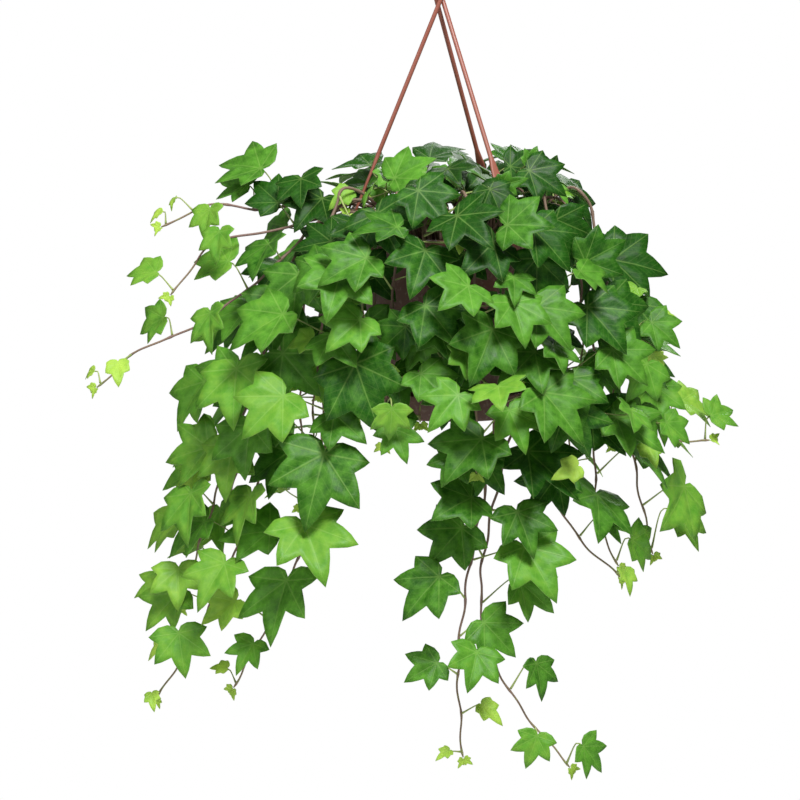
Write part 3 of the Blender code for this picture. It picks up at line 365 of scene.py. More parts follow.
def arm_rings(bearing, sides=8):
    """Sections of one arm, from its socket under the collar to the foot below the rim flange."""
    outward, tangent, top, end = arm_places(bearing)
    rings = [oval(Vector((top.x, top.y, ARM_TOP)), tangent * ARM_RADIUS, outward * ARM_RADIUS, sides)]
    for share in (0.0, 0.2, 0.4, 0.6, STRAP_START):
        rings.append(oval(top.lerp(end, share), tangent * ARM_RADIUS, outward * ARM_RADIUS, sides))
    wide, thin = tangent * STRAP_WIDTH / 2, outward * STRAP_THICKNESS / 2
    for share in (STRAP_FULL, STRAP_END):
        rings.append(oval(top.lerp(end, share), wide, thin, sides))
    for z, radius in ((RIM_Z + NECK_RISE, NECK_RADIUS), (UNDER_FLANGE, NECK_RADIUS),
                      (UNDER_FLANGE - FOOT_EDGE, FOOT_RADIUS),
                      (UNDER_FLANGE - FOOT_HEIGHT, FOOT_RADIUS * FOOT_TAPER)):
        rings.append(oval(round_pot(bearing, ARM_CIRCLE, z), tangent * radius, outward * radius, sides))
    return rings


# ---- how the plant grows --------------------------------------------------------------------
def ball_round(points):
    middle = sum(points, Vector()) / len(points)
    return middle, max((p - middle).length for p in points)


class Solids:
    """What is already there, for keeping new growth clear of it."""

    def __init__(self):
        self.items = []

    def add(self, points, faces, owner=None):
        self.items.append((*ball_round(points), BVHTree.FromPolygons(points, faces), owner))

    def clear(self, points, faces, but=None):
        """Whether a skin touches nothing, other than what the owner named by but added."""
        middle, radius = ball_round(points)
        tree = None
        for centre, reach, other, owner in self.items:
            if (centre - middle).length > reach + radius or (but and owner is but):
                continue
            tree = tree or BVHTree.FromPolygons(points, faces)
            if tree.overlap(other):
                return False
        return True


def revolve(profile, steps=36):
    """An open turned surface about the pot's axis, for keeping growth clear."""
    points = []
    for i in range(steps):
        points += [round_pot(360 * i / steps, radius, z) for radius, z in profile]
    faces = []
    rows = len(profile)
    for i in range(steps):
        n = (i + 1) % steps
        for k in range(rows - 1):
            faces.append((i * rows + k, n * rows + k, n * rows + k + 1, i * rows + k + 1))
    return points, faces


def pot_outside():
    """The pot and saucer from the soil's edge over the rim to the saucer's foot, a little oversize."""
    inside = MOUTH_RADIUS - POT_WALL - ROOM / 2
    skin = RIM_RADIUS + ROOM
    dish = SAUCER_RADIUS + ROOM
    under = SAUCER_FOOT - ROOM
    return [(inside, SOIL_TOP), (inside, RIM_Z + ROOM), (skin, RIM_Z + ROOM), (skin, RIM_Z - SKIRT_DROP),
            (MOUTH_RADIUS, RIM_Z - SKIRT_DROP - ROOM), (BASE_RADIUS + ROOM, POT_FOOT + SAUCER_HEIGHT),
            (dish, SAUCER_FOOT + SAUCER_HEIGHT), (dish, under), (ROOM, under)]


def arm_curtain(bearing, reach):
    """The space in front of an arm, down to one of its rings, which presses the leaves there aside."""
    rings = arm_rings(bearing)
    middles = [sum(ring, Vector()) / len(ring) for ring in rings[1:reach]]
    points = middles + [p + ARM_FRONT for p in middles]
    count = len(middles)
    return points, [(k, k + 1, count + k + 1, count + k) for k in range(count - 1)]


def obstacles():
    solids = Solids()
    solids.add(*revolve(pot_outside()))
    for bearing in ARMS.values():
        solids.add(*loft(arm_rings(bearing)))
    return solids


def stem_radius(share):
    return STEM_RADIUS + (TIP_RADIUS - STEM_RADIUS) * share


class Vine:
    """One rooted cutting: its stem's sections, and the leaves that it carries."""

    def __init__(self, route, sizes):
        self.samples = smooth(route, STEM_STEP)
        for i, place in enumerate(self.samples[3:], 3):
            x, y = math.sin(WANDER_TURNS[0] * i), math.cos(WANDER_TURNS[1] * i)
            place += Vector((x, y, 0.0)) * WANDER
        self.length = length_of(self.samples)
        self.sizes = sizes
        self.leaves = {}

    def node_at(self, number):
        first = BARE_SHARE * self.length
        gap = (self.length - first - BARE_TIP) / (len(self.sizes) - 1)
        return first + gap * number

    def stations(self):
        """Distances of the stem's rings; each leaf's place has a pair, marked by its number."""
        marks = [(0.0, None)]
        for number in range(len(self.sizes)):
            place = self.node_at(number)
            while place - marks[-1][0] > RING_STEP + 5 * NODE_HALF:
                marks.append((marks[-1][0] + RING_STEP, None))
            marks.append((place - NODE_HALF, number))
            marks.append((place + NODE_HALF, None))
        marks.append((self.length, None))
        return marks

    def rings(self, extra=0.0):
        rings = []
        side = Vector((0.0, 0.0, 1.0))
        for distance, _ in self.stations():
            centre, direction = along(self.samples, distance)
            side = across(direction, side)
            radius = stem_radius(distance / self.length) + extra
            rings.append(oval(centre, side * radius, direction.cross(side) * radius, STEM_SIDES))
        return rings


class Leaf:
    """A leaf: the petiole's bend and end, and the blade's tip direction, face and length."""

    def __init__(self, start, joint, tip, face, size):
        self.start = start
        self.joint = joint
        self.tip = tip
        self.face = face
        self.size = size
        self.side = face.cross(tip)
        reach = (joint - start).length
        self.bend = joint - (face * BEND_DOWN + tip * BEND_BACK) * reach

    def outline(self, scale=1.0):
        half = YOUNG if self.size < YOUNG_BELOW else LOBED
        whole = half + [(u, -v) for u, v in reversed(half[1:-1])]
        return [self.place(u * scale, v * scale) for u, v in whole]

    def place(self, u, v):
        """A point of the blade, which is folded along its midrib and droops to the tip."""
        lift = BLADE_FOLD * abs(v) - BLADE_DROOP * u * abs(u)
        return self.joint + (self.tip * u + self.side * v + self.face * lift) * self.size

    def probe(self):
        """A skin a little outside the leaf, which must be clear of everything."""
        away = self.face * (BLADE_HALF + CLEARANCE)
        rim = self.outline(PROBE_SPREAD)
        count = len(rim)
        points = [p + away for p in rim] + [p - away for p in rim]
        points += [self.joint + away * PROBE_RISE, self.joint - away * PROBE_RISE]
        faces = []
        for i in range(count):
            n = (i + 1) % count
            faces.append((i, n, 2 * count))
            faces.append((n + count, i + count, 2 * count + 1))
            faces.append((i, i + count, n + count, n))
        return points, faces

    def petiole_probe(self, skipped=0.0, clearance=CLEARANCE):
        """A skin a little outside the petiole, less a share of its lower half."""
        width = PETIOLE_RADIUS + clearance
        foot = width + SOCKET_SPREAD * (1.0 - skipped)
        axis = (self.joint - self.start).normalized()
        one = across(axis, self.face)
        two = axis.cross(one)
        stalk = [(self.start.lerp(self.bend, skipped), foot), (self.bend, width), (self.joint, width)]
        return loft([oval(place, one * half, two * half, 4) for place, half in stalk])

    def bends_gently(self):
        return (self.bend - self.start).dot(self.joint - self.bend) > 0.0


def jitter(rng):
    return Vector((rng.uniform(-1, 1), rng.uniform(-1, 1), rng.uniform(-1, 1)))


def trail_route(bearings, rng):
    """From the soil, over the rim and along a trail's chosen points."""
    bearing = bearings[0][0]
    sway = rng.uniform(-ROOT_SWAY, ROOT_SWAY)
    root = round_pot(bearing + sway, MOUTH_RADIUS * rng.uniform(*ROOT_SHARES), 0.0)
    root.z = SOIL_TOP + SOIL_CROWN + ROOT_ROOM
    crest = round_pot(bearing, MOUTH_RADIUS * CREST_SHARE, RIM_Z + rng.uniform(*CREST_RISES))
    return [root, crest] + [round_pot(b, RIM_RADIUS + reach, RIM_Z + rise) for b, reach, rise in bearings]


def shoot(bearing, reach, rise, drop, sway):
    """Three points of a shoot that rises over the rim, swings out and hangs down."""
    return [(bearing, reach * SHOOT_START, rise), (bearing + sway, reach, -SWING_SHARE * drop),
            (bearing, reach + SHOOT_END, -drop)]


def back_plan(number, rng):
    """A longer vine behind the pot, hanging lower at the sides than in the middle."""
    bearing = BACK_FIRST + (BACK_LAST - BACK_FIRST) * number / (BACK_VINES - 1)
    drop = BACK_DROP + BACK_SIDE_DROP * abs(math.cos(math.radians(bearing))) ** 2
    points = shoot(bearing, rng.uniform(*BACK_REACHES), SHOOT_RISE, drop, SHOOT_SWAY_BACK)
    count = BACK_LEAST + round(drop / BACK_SPACING)
    return points, [rng.uniform(*BACK_LEAVES) for _ in range(count)] + [BACK_TIP_LEAF]


def front_plan(number, rng):
    """Short shoots in turn near the pot, further out and longer."""
    bearing = FRONT_FIRST + (FRONT_LAST - FRONT_FIRST) * number / (FRONT_VINES - 1)
    layer = number % len(FRONT_DROPS)
    drop = FRONT_DROPS[layer] + rng.uniform(-FRONT_VARIES, FRONT_VARIES)
    rise = SHOOT_RISE + SHOOT_LAYER * layer
    points = shoot(bearing, FRONT_REACH + FRONT_LAYER * layer, rise, drop, SHOOT_SWAY_FRONT)
    count = round(drop / FRONT_SPACING) + 1
    return points, [rng.uniform(*FRONT_LEAVES) for _ in range(count)] + [FRONT_TIP_LEAF]


def crown_route(number, rng):
    """A short upright shoot that arches outwards from the middle of the pot."""
    bearing = number * GOLDEN_ANGLE
    spread = math.sqrt((number + 0.5) / CROWN_VINES)
    rise = CROWN_RISE * (1.0 - CROWN_DOME * spread)
    root = round_pot(bearing, MOUTH_RADIUS * CROWN_FOOT * spread, SOIL_TOP + SOIL_CROWN + ROOT_ROOM)
    middle = round_pot(bearing, MOUTH_RADIUS * CROWN_BEND * spread, RIM_Z + rise * CROWN_BEND_RISE)
    bearing += rng.uniform(-CROWN_SWAY, CROWN_SWAY)
    return [root, middle, round_pot(bearing, MOUTH_RADIUS * CROWN_END * spread + CROWN_SPILL, RIM_Z + rise)]


def place_stem(route, sizes, rng, solids):
    """The stem, nudged a little more at each try until it is clear of what is there."""
    vine = None
    for attempt in range(STEM_TRIES):
        nudge = STEM_NUDGE * attempt
        moved = [p + jitter(rng) * nudge for p in route]
        moved[0].z = route[0].z
        vine = Vine(moved, sizes)
        if solids.clear(*loft(vine.rings(CLEARANCE))):
            break
    solids.add(*loft(vine.rings()), owner=vine)
    return vine


def leaf_is_clear(leaf, vine, solids):
    """Whether the leaf is clear of everything, apart from its own stem where it grows out."""
    if not leaf.bends_gently() or not solids.clear(*leaf.probe()):
        return False
    if not solids.clear(*leaf.petiole_probe(), but=vine):
        return False
    return solids.clear(*leaf.petiole_probe(SKIPPED_SHARE))


def leaf_is_in_shape(leaf, habit):
    """Whether its petiole ends below the crown's top and, on most vines, inside the dome."""
    if leaf.joint.z > RIM_Z + CROWN_TOP:
        return False
    out = leaf.joint - POT_AXIS
    reach = math.hypot(out.x, out.y / DOME_DEPTH)
    return not habit.domed or reach < RIM_RADIUS + DOME_REACH + DOME_SLOPE * (RIM_Z - leaf.joint.z)


def habit_of(name):
    if "crown" in name:
        return CROWNING
    if "front" in name:
        return SHOOTING
    return STRAYING if name.removeprefix("vine_") in STRAYS else TRAILING


def grow_leaf(vine, number, side, rng, solids, habit):
    """The first of several tries at a leaf that is clear of everything, or None."""
    place, direction = along(vine.samples, vine.node_at(number))
    outward = place - POT_AXIS
    outward.z = 0.0
    outward.normalize()
    sideways = direction.cross(outward).normalized() * side
    up = Vector((0.0, 0.0, 1.0))
    for attempt in range(LEAF_TRIES):
        effort = attempt / LEAF_TRIES
        loose = LOOSE_FIRST + LOOSE_MORE * effort
        lead = outward * LEAD_OUT + up * habit.rise + LIGHT * LEAD_LIGHT
        away = (lead + sideways * LEAD_SIDE + jitter(rng) * loose).normalized()
        size = vine.sizes[number] * (1.0 + (SMALLEST_SHARE - 1.0) * effort)
        stalk = size * (rng.uniform(*habit.stalk) + habit.stretch * effort) + SHORTEST_PETIOLE
        facing = LIGHT * FACE_LIGHT + outward * FACE_OUT + up * habit.tilt
        face = (facing + jitter(rng) * (loose * FACE_LOOSE)).normalized()
        if face.dot(away) < LEAST_OPEN or abs(direction.dot(away)) > habit.lean:
            continue
        hang = outward * HANG_OUT + sideways * HANG_SIDE - up * habit.hang + jitter(rng) * loose
        leaf = Leaf(place + away * stem_radius(0.5), place + away * stalk, across(face, hang), face, size)
        if leaf_is_in_shape(leaf, habit) and leaf_is_clear(leaf, vine, solids):
            solids.add(*leaf.probe())
            solids.add(*leaf.petiole_probe())
            return leaf
        side = -side if attempt % TRIES_A_SIDE == TRIES_A_SIDE - 1 else side
    return None


def grow_plant():
    """Every vine by name: the stems first, then the leaves, the longest trails before the rest."""
    solids = obstacles()
    vines = {}
    for name, (bearings, sizes) in TRAILS.items():
        rng = random.Random(name)
        vines["vine_" + name] = place_stem(trail_route(bearings, rng), sizes, rng, solids)
    for side, count, plan in (("front", FRONT_VINES, front_plan), ("behind", BACK_VINES, back_plan)):
        for number in range(count):
            rng = random.Random(f"{side} {number}")
            bearings, sizes = plan(number, rng)
            vines[f"vine_{side}_{number + 1}"] = place_stem(trail_route(bearings, rng), sizes, rng, solids)
    for number in range(CROWN_VINES):
        rng = random.Random(f"crown {number}")
        sizes = [rng.uniform(*CROWN_LEAVES) for _ in range(CROWN_COUNT)] + [CROWN_TIP_LEAF]
        vines[f"vine_crown_{number + 1}"] = place_stem(crown_route(number, rng), sizes, rng, solids)
    heap_top = SOIL_TOP + SOIL_CROWN + ROOM
    soil_skin = [(MOUTH_RADIUS - POT_WALL, SOIL_TOP + ROOM), (MOUTH_RADIUS * HEAP_SHARE, heap_top),
                 (ROOM, heap_top)]
    solids.add(*revolve(soil_skin))
    for name, bearing in ARMS.items():
        solids.add(*arm_curtain(bearing, ARM_SEEN[name]))
    for name, vine in vines.items():
        habit = habit_of(name)
        rng = random.Random("leaves of " + name)
        for number in range(len(vine.sizes)):
            side = 1 if number % 2 else -1
            leaf = grow_leaf(vine, number, side, rng, solids, habit)
            if leaf:
                vine.leaves[number] = leaf
    return vines


# ---- surfaces made with arrays ----------------------------------------------------------------
def mesh_object(name, points, faces):
    """An object at the origin, with its place in its mesh."""
    mesh = bpy.data.meshes.new(name)
    mesh.from_pydata(np.asarray(points, float).tolist(), [], faces)
    made = bpy.data.objects.new(name, mesh)
    bpy.context.scene.collection.objects.link(made)
    return made


def new_piece(name, points, faces, finishes):
    """A smooth-shaded mesh object of the given points and faces, riding on the frame's one body."""
    made = mesh_object(name, points, faces)
    made.data.polygons.foreach_set("use_smooth", np.full(len(faces), True))
    for finish in finishes:
        made.data.materials.append(finish)
    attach(made, "root")
    return made


def grid_faces(rows, columns):
    """Quads between rows of equally many points that go round, as an array of corner numbers."""
    k = np.arange(columns)
    n = (k + 1) % columns
    row = np.arange(rows - 1)[:, None] * columns
    return np.stack([row + k, row + n, row + columns + n, row + columns + k], axis=-1).reshape(-1, 4)


def closed_faces(rows, columns):
    """The same quads, and at each end a fan to one more point: the two points after the rows."""
    faces = grid_faces(rows, columns).tolist()
    first, last = rows * columns, rows * columns + 1
    end = (rows - 1) * columns
    for k in range(columns):
        n = (k + 1) % columns
        faces += [(first, n, k), (last, end + k, end + n)]
    return faces


class Bundle:
    """Many small surfaces gathered for one mesh, with a tone and place values for each point."""

    def __init__(self):
        self.points = []
        self.faces = []
        self.tones = []
        self.places = []
        self.count = 0

    def add(self, points, faces, tone, places):
        self.points.append(points)
        self.faces += [tuple(i + self.count for i in face) for face in faces]
        self.tones.append(np.broadcast_to(tone, len(points)).astype(float))
        self.places.append(places)
        self.count += len(points)

    def piece(self, name, finishes):
        made = new_piece(name, np.concatenate(self.points), self.faces, finishes)
        mesh = made.data
        tone = mesh.attributes.new("tone", "FLOAT", "POINT")
        tone.data.foreach_set("value", np.concatenate(self.tones))
        corners = np.zeros(len(mesh.loops), int)
        mesh.loops.foreach_get("vertex_index", corners)
        layer = mesh.uv_layers.new(name="own_place")
        layer.data.foreach_set("uv", np.concatenate(self.places)[corners].ravel())
        return made


def tube(points, radii, sides):
    """A round tube: circles of the given radii square to the line, closed by a point at each end.

    Each circle's axes are the last one's, turned by as little as the line turns. Returns points,
    faces, and for each point its place as (share round, distance along in metres).
    """
    line = np.asarray(points, float)
    radii = np.broadcast_to(radii, len(line))
    run = np.gradient(line, axis=0)
    run /= np.linalg.norm(run, axis=1, keepdims=True)
    one = np.array(Vector(run[0]).orthogonal().normalized())
    ones = []
    for direction in run:
        one = one - direction * one.dot(direction)
        one /= np.linalg.norm(one)
        ones.append(one)
    ones = np.array(ones)
    twos = np.cross(run, ones)
    turn = 2 * np.pi * np.arange(sides) / sides
    rings = line[:, None] + radii[:, None, None] * (ones[:, None] * np.cos(turn)[:, None]
                                                    + twos[:, None] * np.sin(turn)[:, None])
    made = np.concatenate([rings.reshape(-1, 3), line[:1], line[-1:]])
    gone = np.concatenate([[0.0], np.cumsum(np.linalg.norm(np.diff(line, axis=0), axis=1))])
    places = np.stack([np.tile(np.arange(sides) / sides, len(line)), np.repeat(gone, sides)], axis=1)
    places = np.concatenate([places, [[0.0, 0.0], [0.0, gone[-1]]]])
    return made, closed_faces(len(line), sides), places


# ---- leaves -----------------------------------------------------------------------------------
LOBE_SPREAD = math.radians(45)           # between one main vein and the next
LOBE_TIPS = np.array([1.0, 0.86, 0.62])  # reach of the middle, side and base lobes, in leaf lengths
LOBE_NOTCHES = np.array([0.59, 0.49])    # reach of the notches between them
YOUNG_TIPS = np.array([1.0, 0.62, 0.42])
YOUNG_NOTCHES = np.array([0.54, 0.42])
LOBE_POWER = 1.2                         # above 1, a lobe is drawn out to a point
BASE_REACH = 0.06                        # how far the blade reaches straight behind the petiole
BASE_POWER = 0.75                        # below 1, it draws in at once behind the last lobe
BASE_ANGLES = np.radians([90, 112, 134, 157])
VEIN_STEPS = 6                           # points of the outline from one main vein to the next
NOTCH_VARIES = 0.10                      # by what share the notches of leaves differ,
OUTLINE_VARIES = 0.04                    # and one half of a leaf from the other
BLADE_ROWS = np.array([0.40, 0.74, 1.0])
BLADE_THICKNESS = 0.00035
BLADE_PUFF = 0.075                       # rise between the veins, as a share of the reach
BLADE_WAVE = 0.022                       # how far the edge waves up and down, in leaf lengths
STALK_RADIUS = 0.00048
STALK_FOOT = 0.00045                     # how much thicker a petiole is where it grows out
STALK_NECK = 0.00012                     # and where it meets the blade
BARK_RADIUS = 0.00125
BARK_TAPER = 0.00060                     # how much thinner a stem is at its tip
STEM_POINT = 0.6                         # how much narrower still its last ring is drawn
KNOT_RISE = 0.00035                      # how far a stem swells at a node
KNOT_HALF = 0.0022                       # and half how long the swelling is
BUD_LEAF = 0.0075
BUD_STALK = 0.0015
BUD_ALONG, BUD_SIDE, BUD_UP = 0.80, 0.55, 0.20      # a bud leaf points on, sideways and to the light,
BUD_OPEN, BUD_SHUT = 0.60, 0.50          # and faces the light and its twin
STALK_TONES = (1.2, 1.5)                 # of petioles, on a scale that runs from 0 to 1 along a stem
STEM_FACETS = 8
STALK_FACETS = 6
STEM_SPACING = 0.003                     # between the rings of a stem
STALK_SPACING = 0.0025                   # and of a petiole

# A leaf's tone runs from 0, old and dark, to 1, new and yellow-green; painted shade also lowers it in the
# plant's middle.
SHADED_WITHIN = 0.095                    # of the pot's axis, where leaves are darkest with painted shade
LIT_BEYOND = 0.170
CLEAR_BELOW = 0.070                      # so far below the pot's foot, a leaf has this share of the painted light that it has far out
CLEAR_SHARE = 0.65                       # light that it has far out
TONE_SHADED = 0.03                       # a leaf in painted shade, and what is added to that in the open, where the painted shade lifts, next to the growing tip, from leaf to leaf, on a new leaf among the old, and on the small leaves near the tip
TONE_OPEN = 0.42                         # in the open,
TONE_TIP = 0.16                          # next to the growing tip,
TONE_VARIES = (-0.08, 0.14)              # from leaf to leaf,
TONE_NEW = 0.26                          # on a new leaf among the old,
TONE_YOUNG = 0.36                        # and on the small leaves near the tip
NEW_SHARE = 0.10                         # of the leaves are new ones among the old
NEW_BELOW = 0.036                        # a leaf longer than this is an old one


def leaf_reach(angle, depth, young):
    """How far the blade reaches from the petiole, in leaf lengths, at angles from its tip.

    Each lobe falls off from its vein to the notches beside it as a power of the share between them,
    so that its tip is pointed; behind the last lobe the blade draws in to the petiole.
    """
    turn = np.abs(angle) / LOBE_SPREAD
    lobe = np.minimum(np.round(turn), 2).astype(int)
    share = np.clip(2 * np.abs(turn - lobe), 0, 1)
    tips = YOUNG_TIPS if young else LOBE_TIPS
    notches = (YOUNG_NOTCHES if young else LOBE_NOTCHES) * (1 - depth)
    notch = notches[np.clip(np.floor(turn + 1e-6).astype(int), 0, 1)]
    reach = notch + (tips[lobe] - notch) * (1 - share) ** LOBE_POWER
    behind = np.clip((turn - 2) / (math.pi / LOBE_SPREAD - 2), 0, 1)
    back = BASE_REACH + (tips[2] - BASE_REACH) * (1 - behind ** BASE_POWER)
    return np.where(turn > 2, back, reach)


def blade_angles():
    """Angles with a point on every vein and notch, and evenly between them."""
    lobes = np.arange(2 * VEIN_STEPS) * LOBE_SPREAD / VEIN_STEPS
    half = np.concatenate([lobes, BASE_ANGLES])
    return np.concatenate([half, [math.pi], -half[:0:-1]])


def blade(leaf, rng):
    """A leaf's blade: folded along its midrib, drooping to the tip, puffed up between its veins.

    In polar form about the petiole; height is a share of the width for the fold, less the square of
    the length for the droop, plus a sine squared of the angle from vein to vein for the puffing and a
    sine of three times the angle for the wavy edge.
    """
    angle = blade_angles()
    reach = leaf_reach(angle, rng.uniform(-NOTCH_VARIES, NOTCH_VARIES), leaf.size < YOUNG_BELOW)
    reach = reach * (1 + OUTLINE_VARIES * np.sin(2 * angle + rng.uniform(0, 6)))
    radius = BLADE_ROWS[:, None] * reach
    u = radius * np.cos(angle)
    v = radius * np.sin(angle)
    puff = BLADE_PUFF * radius * np.sin(np.pi * angle / LOBE_SPREAD) ** 2
    wave = BLADE_WAVE * radius ** 2 * np.sin(3 * angle + rng.uniform(0, 6))
    lift = BLADE_FOLD * np.abs(v) - BLADE_DROOP * u * np.abs(u) + puff + wave
    u = np.concatenate([[0.0], u.ravel()])
    v = np.concatenate([[0.0], v.ravel()])
    lift = np.concatenate([[0.0], lift.ravel()])
    tip, side, face, joint = (np.array(w) for w in (leaf.tip, leaf.side, leaf.face, leaf.joint))
    points = joint + leaf.size * (u[:, None] * tip + v[:, None] * side + lift[:, None] * face)
    count = len(angle)
    faces = [(0, k + 1, (k + 1) % count + 1) for k in range(count)]
    faces += (grid_faces(len(BLADE_ROWS), count)[:, [0, 3, 2, 1]] + 1).tolist()
    return points, faces, np.stack([u, v], axis=1)


def leaf_tone_and_painted_shade(leaf, share, rng):
    """A leaf's tone, for the share of its stem's length that it grows at.

    Leaves are newer towards the growing tip; painted shade makes them darker in the middle of the plant,
    where they are shaded, than further out or hanging clear below the pot.
    """
    # Painted shade: the tone is lowered near the pot's axis and raised further out or below the pot.
    away = (leaf.joint - POT_AXIS).to_2d().length
    beside = (away - SHADED_WITHIN) / (LIT_BEYOND - SHADED_WITHIN)
    below = (POT_FOOT - leaf.joint.z) / CLEAR_BELOW * CLEAR_SHARE
    painted_light_share = min(max(beside, min(below, CLEAR_SHARE), 0.0), 1.0)
    tone = TONE_SHADED + TONE_OPEN * painted_light_share + TONE_TIP * share ** 2 + rng.uniform(*TONE_VARIES)
    if rng.random() < NEW_SHARE and leaf.size < NEW_BELOW:
        tone += TONE_NEW
    if leaf.size < YOUNG_BELOW:
        tone += TONE_YOUNG
    return min(max(tone, 0.0), 1.0)


def petiole(leaf):
    """The leaf stalk: a tube curving into the blade, thicker by a power of the share left or gone."""
    line = smooth([leaf.start, leaf.bend, leaf.joint - leaf.face * BLADE_THICKNESS], STALK_SPACING)
    share = np.linspace(0, 1, len(line))
    radii = STALK_RADIUS + STALK_FOOT * (1 - share) ** 4 + STALK_NECK * share ** 6
    return tube(line, radii, STALK_FACETS)


def stem(vine):
    """The stem: a tube tapering to its tip, with a bell curve of swelling at each node."""
    line = smooth(vine.samples, STEM_SPACING)
    gone = np.linspace(0, vine.length, len(line))
    radii = BARK_RADIUS - BARK_TAPER * gone / vine.length
    for number in range(len(vine.sizes)):
        radii = radii + KNOT_RISE * np.exp(-((gone - vine.node_at(number)) / KNOT_HALF) ** 2)
    radii[-1] *= STEM_POINT
    return tube(line, radii, STEM_FACETS), gone / vine.length


def bud_leaves(vine):
    """Two tiny new leaves, half open, at the growing tip."""
    end, direction = along(vine.samples, vine.length)
    buds = []
    for turn in (1, -1):
        side = across(direction, LIGHT.cross(direction) * turn)
        tip = (direction * BUD_ALONG + side * BUD_SIDE + LIGHT * BUD_UP).normalized()
        face = across(tip, LIGHT * BUD_OPEN - side * BUD_SHUT)
        buds.append(Leaf(end, end + tip * BUD_STALK, tip, face, BUD_LEAF))
    return buds


def dress_vine(name, vine, finishes):
    """The vine's woody part and its blades, as two pieces in the place of the CAD vine."""
    rng = random.Random("look of " + name)
    wood, blades = Bundle(), Bundle()
    (points, faces, places), share = stem(vine)
    wood.add(points, faces, np.concatenate([np.repeat(share, STEM_FACETS), [0.0, 1.0]]), places)
    for number, leaf in vine.leaves.items():
        position = vine.node_at(number) / vine.length
        points, faces, places = petiole(leaf)
        wood.add(points, faces, rng.uniform(*STALK_TONES), places)
        points, faces, places = blade(leaf, rng)
        # the tone carries the leaf's age and its painted shade
        blades.add(points, faces, leaf_tone_and_painted_shade(leaf, position, rng), places)
    for bud in bud_leaves(vine):
        points, faces, places = blade(bud, rng)
        blades.add(points, faces, 1.0, places)
    stems = wood.piece(name + "_stems", [finishes["bark"]])
    leaves = blades.piece(name + "_leaves", [finishes["leaf"], finishes["underside"]])
    thick = leaves.modifiers.new("Blade thickness", "SOLIDIFY")
    thick.thickness = BLADE_THICKNESS
    thick.offset = -1.0
    thick.material_offset = 1
    thick.material_offset_rim = 1
    for made in (stems, leaves):
        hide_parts(name)


# ---- pot, saucer and soil ---------------------------------------------------------------------
POT_EDGE = 0.0009                # how far the pot's moulded corners are rounded,
DISH_EDGE = 0.0008               # the saucer's
COLLAR_EDGE = 0.0012             # and the collar's,
CORNER_SHARE = 0.45              # and at most this share of a side
POT_FACETS = 120
COLLAR_FACETS = 64
SOIL_FACETS = 96
SOIL_ROWS = 30
DRAIN_SHARE = 0.6                # of the base's radius, where the drain holes are
DRILL_HALF = 0.006               # half the length of a hole's cutter
CUTTER_FACETS = 32
DISH_RING = 0.0003               # height of the ring moulded into the saucer's floor
DISH_RING_SHARES = (0.50, 0.54)  # its inner and outer radius, in shares of the foot's
SOIL_LUMPS = (0.0010, 0.009, 1)  # height, length and seed of the soil's lumps,
SOIL_GRAIN = (0.0005, 0.003, 2)  # and of the smaller ones on them
SOIL_ROUGH_BELOW = 0.001         # the surface is rough down to this far below its edge
CRUMBS = {"bark_crumbs": (260, 0.0016, 5), "perlite_grains": (110, 0.0011, 6)}  # count, size and seed
WAVES = 24                       # sine waves that make the lumps,
WAVES_MOST = 1.5                 # whose sum over the root of their number is seldom more than this
LUMP_STRETCH = (0.5, 1.3)        # least and most of a crumb's own length, to its chosen size
LUMP_ROUGH = 0.18
LUMP_RISE = 0.0002               # how far a crumb's middle is above the soil
LUMP_EDGE = 0.95                 # share of the soil's area that the crumbs lie on


def fillet(profile, radius, closed=False, steps=4):
    """The (radius, z) points with each corner, but not an open line's ends, rounded.

    A corner is cut back by the radius, or less on a short side, and becomes a quadratic Bezier curve.
    """
    line = [np.array(p, float) for p in profile]
    if closed:
        line = [line[-1]] + line + [line[0]]
    made = [] if closed else [line[0]]
    for a, b, c in zip(line, line[1:], line[2:]):
        cut_a = min(radius, CORNER_SHARE * np.linalg.norm(a - b))
        cut_c = min(radius, CORNER_SHARE * np.linalg.norm(c - b))
        start = b + (a - b) / np.linalg.norm(a - b) * cut_a
        end = b + (c - b) / np.linalg.norm(c - b) * cut_c
        for t in np.linspace(0, 1, steps):
            made.append((1 - t) ** 2 * start + 2 * (1 - t) * t * b + t * t * end)
    if not closed:
        made.append(line[-1])
    return np.array(made)


def face_outwards(mesh):
    """Turns a closed mesh's faces outwards."""
    work = bmesh.new()
    work.from_mesh(mesh)
    bmesh.ops.recalc_face_normals(work, faces=work.faces)
    work.to_mesh(mesh)
    work.free()


def lathe(name, profile, steps, finish, closed, axis=POT_AXIS):
    """A profile turned about an upright axis: each point goes round a circle of its own radius.

    A closed profile makes a ring; an open one starts and ends on the axis, at one point each.
    """
    turn = 2 * np.pi * np.arange(steps) / steps
    rows = profile if closed else profile[1:-1]
    points = np.stack([rows[:, :1] * np.cos(turn), rows[:, :1] * np.sin(turn),
                       np.repeat(rows[:, 1:], steps, axis=1)], axis=-1).reshape(-1, 3)
    if closed:
        faces = (grid_faces(len(rows) + 1, steps) % len(points)).tolist()
    else:
        points = np.concatenate([points, [[0, 0, profile[0, 1]], [0, 0, profile[-1, 1]]]])
        faces = closed_faces(len(rows), steps)
    made = new_piece(name, points + np.array(axis), faces, [finish])
    face_outwards(made.data)
    return made


def pot_profile():
    """The pot's wall in section, going once round: floor, inside, rim flange and skirt, back."""
    inner = MOUTH_RADIUS - POT_WALL
    hole = STUD_RADIUS + FIT_GAP
    skirt = RIM_RADIUS - SKIRT_WALL
    corners = [(hole, FLOOR_TOP), (BASE_RADIUS - POT_WALL, FLOOR_TOP), (inner, RIM_Z), (RIM_RADIUS, RIM_Z),
               (RIM_RADIUS, RIM_Z - SKIRT_DROP), (skirt, RIM_Z - SKIRT_DROP), (skirt, RIM_Z - POT_WALL),
               (MOUTH_RADIUS, RIM_Z - POT_WALL), (BASE_RADIUS, POT_FOOT), (hole, POT_FOOT)]
    return fillet(corners, POT_EDGE, closed=True)


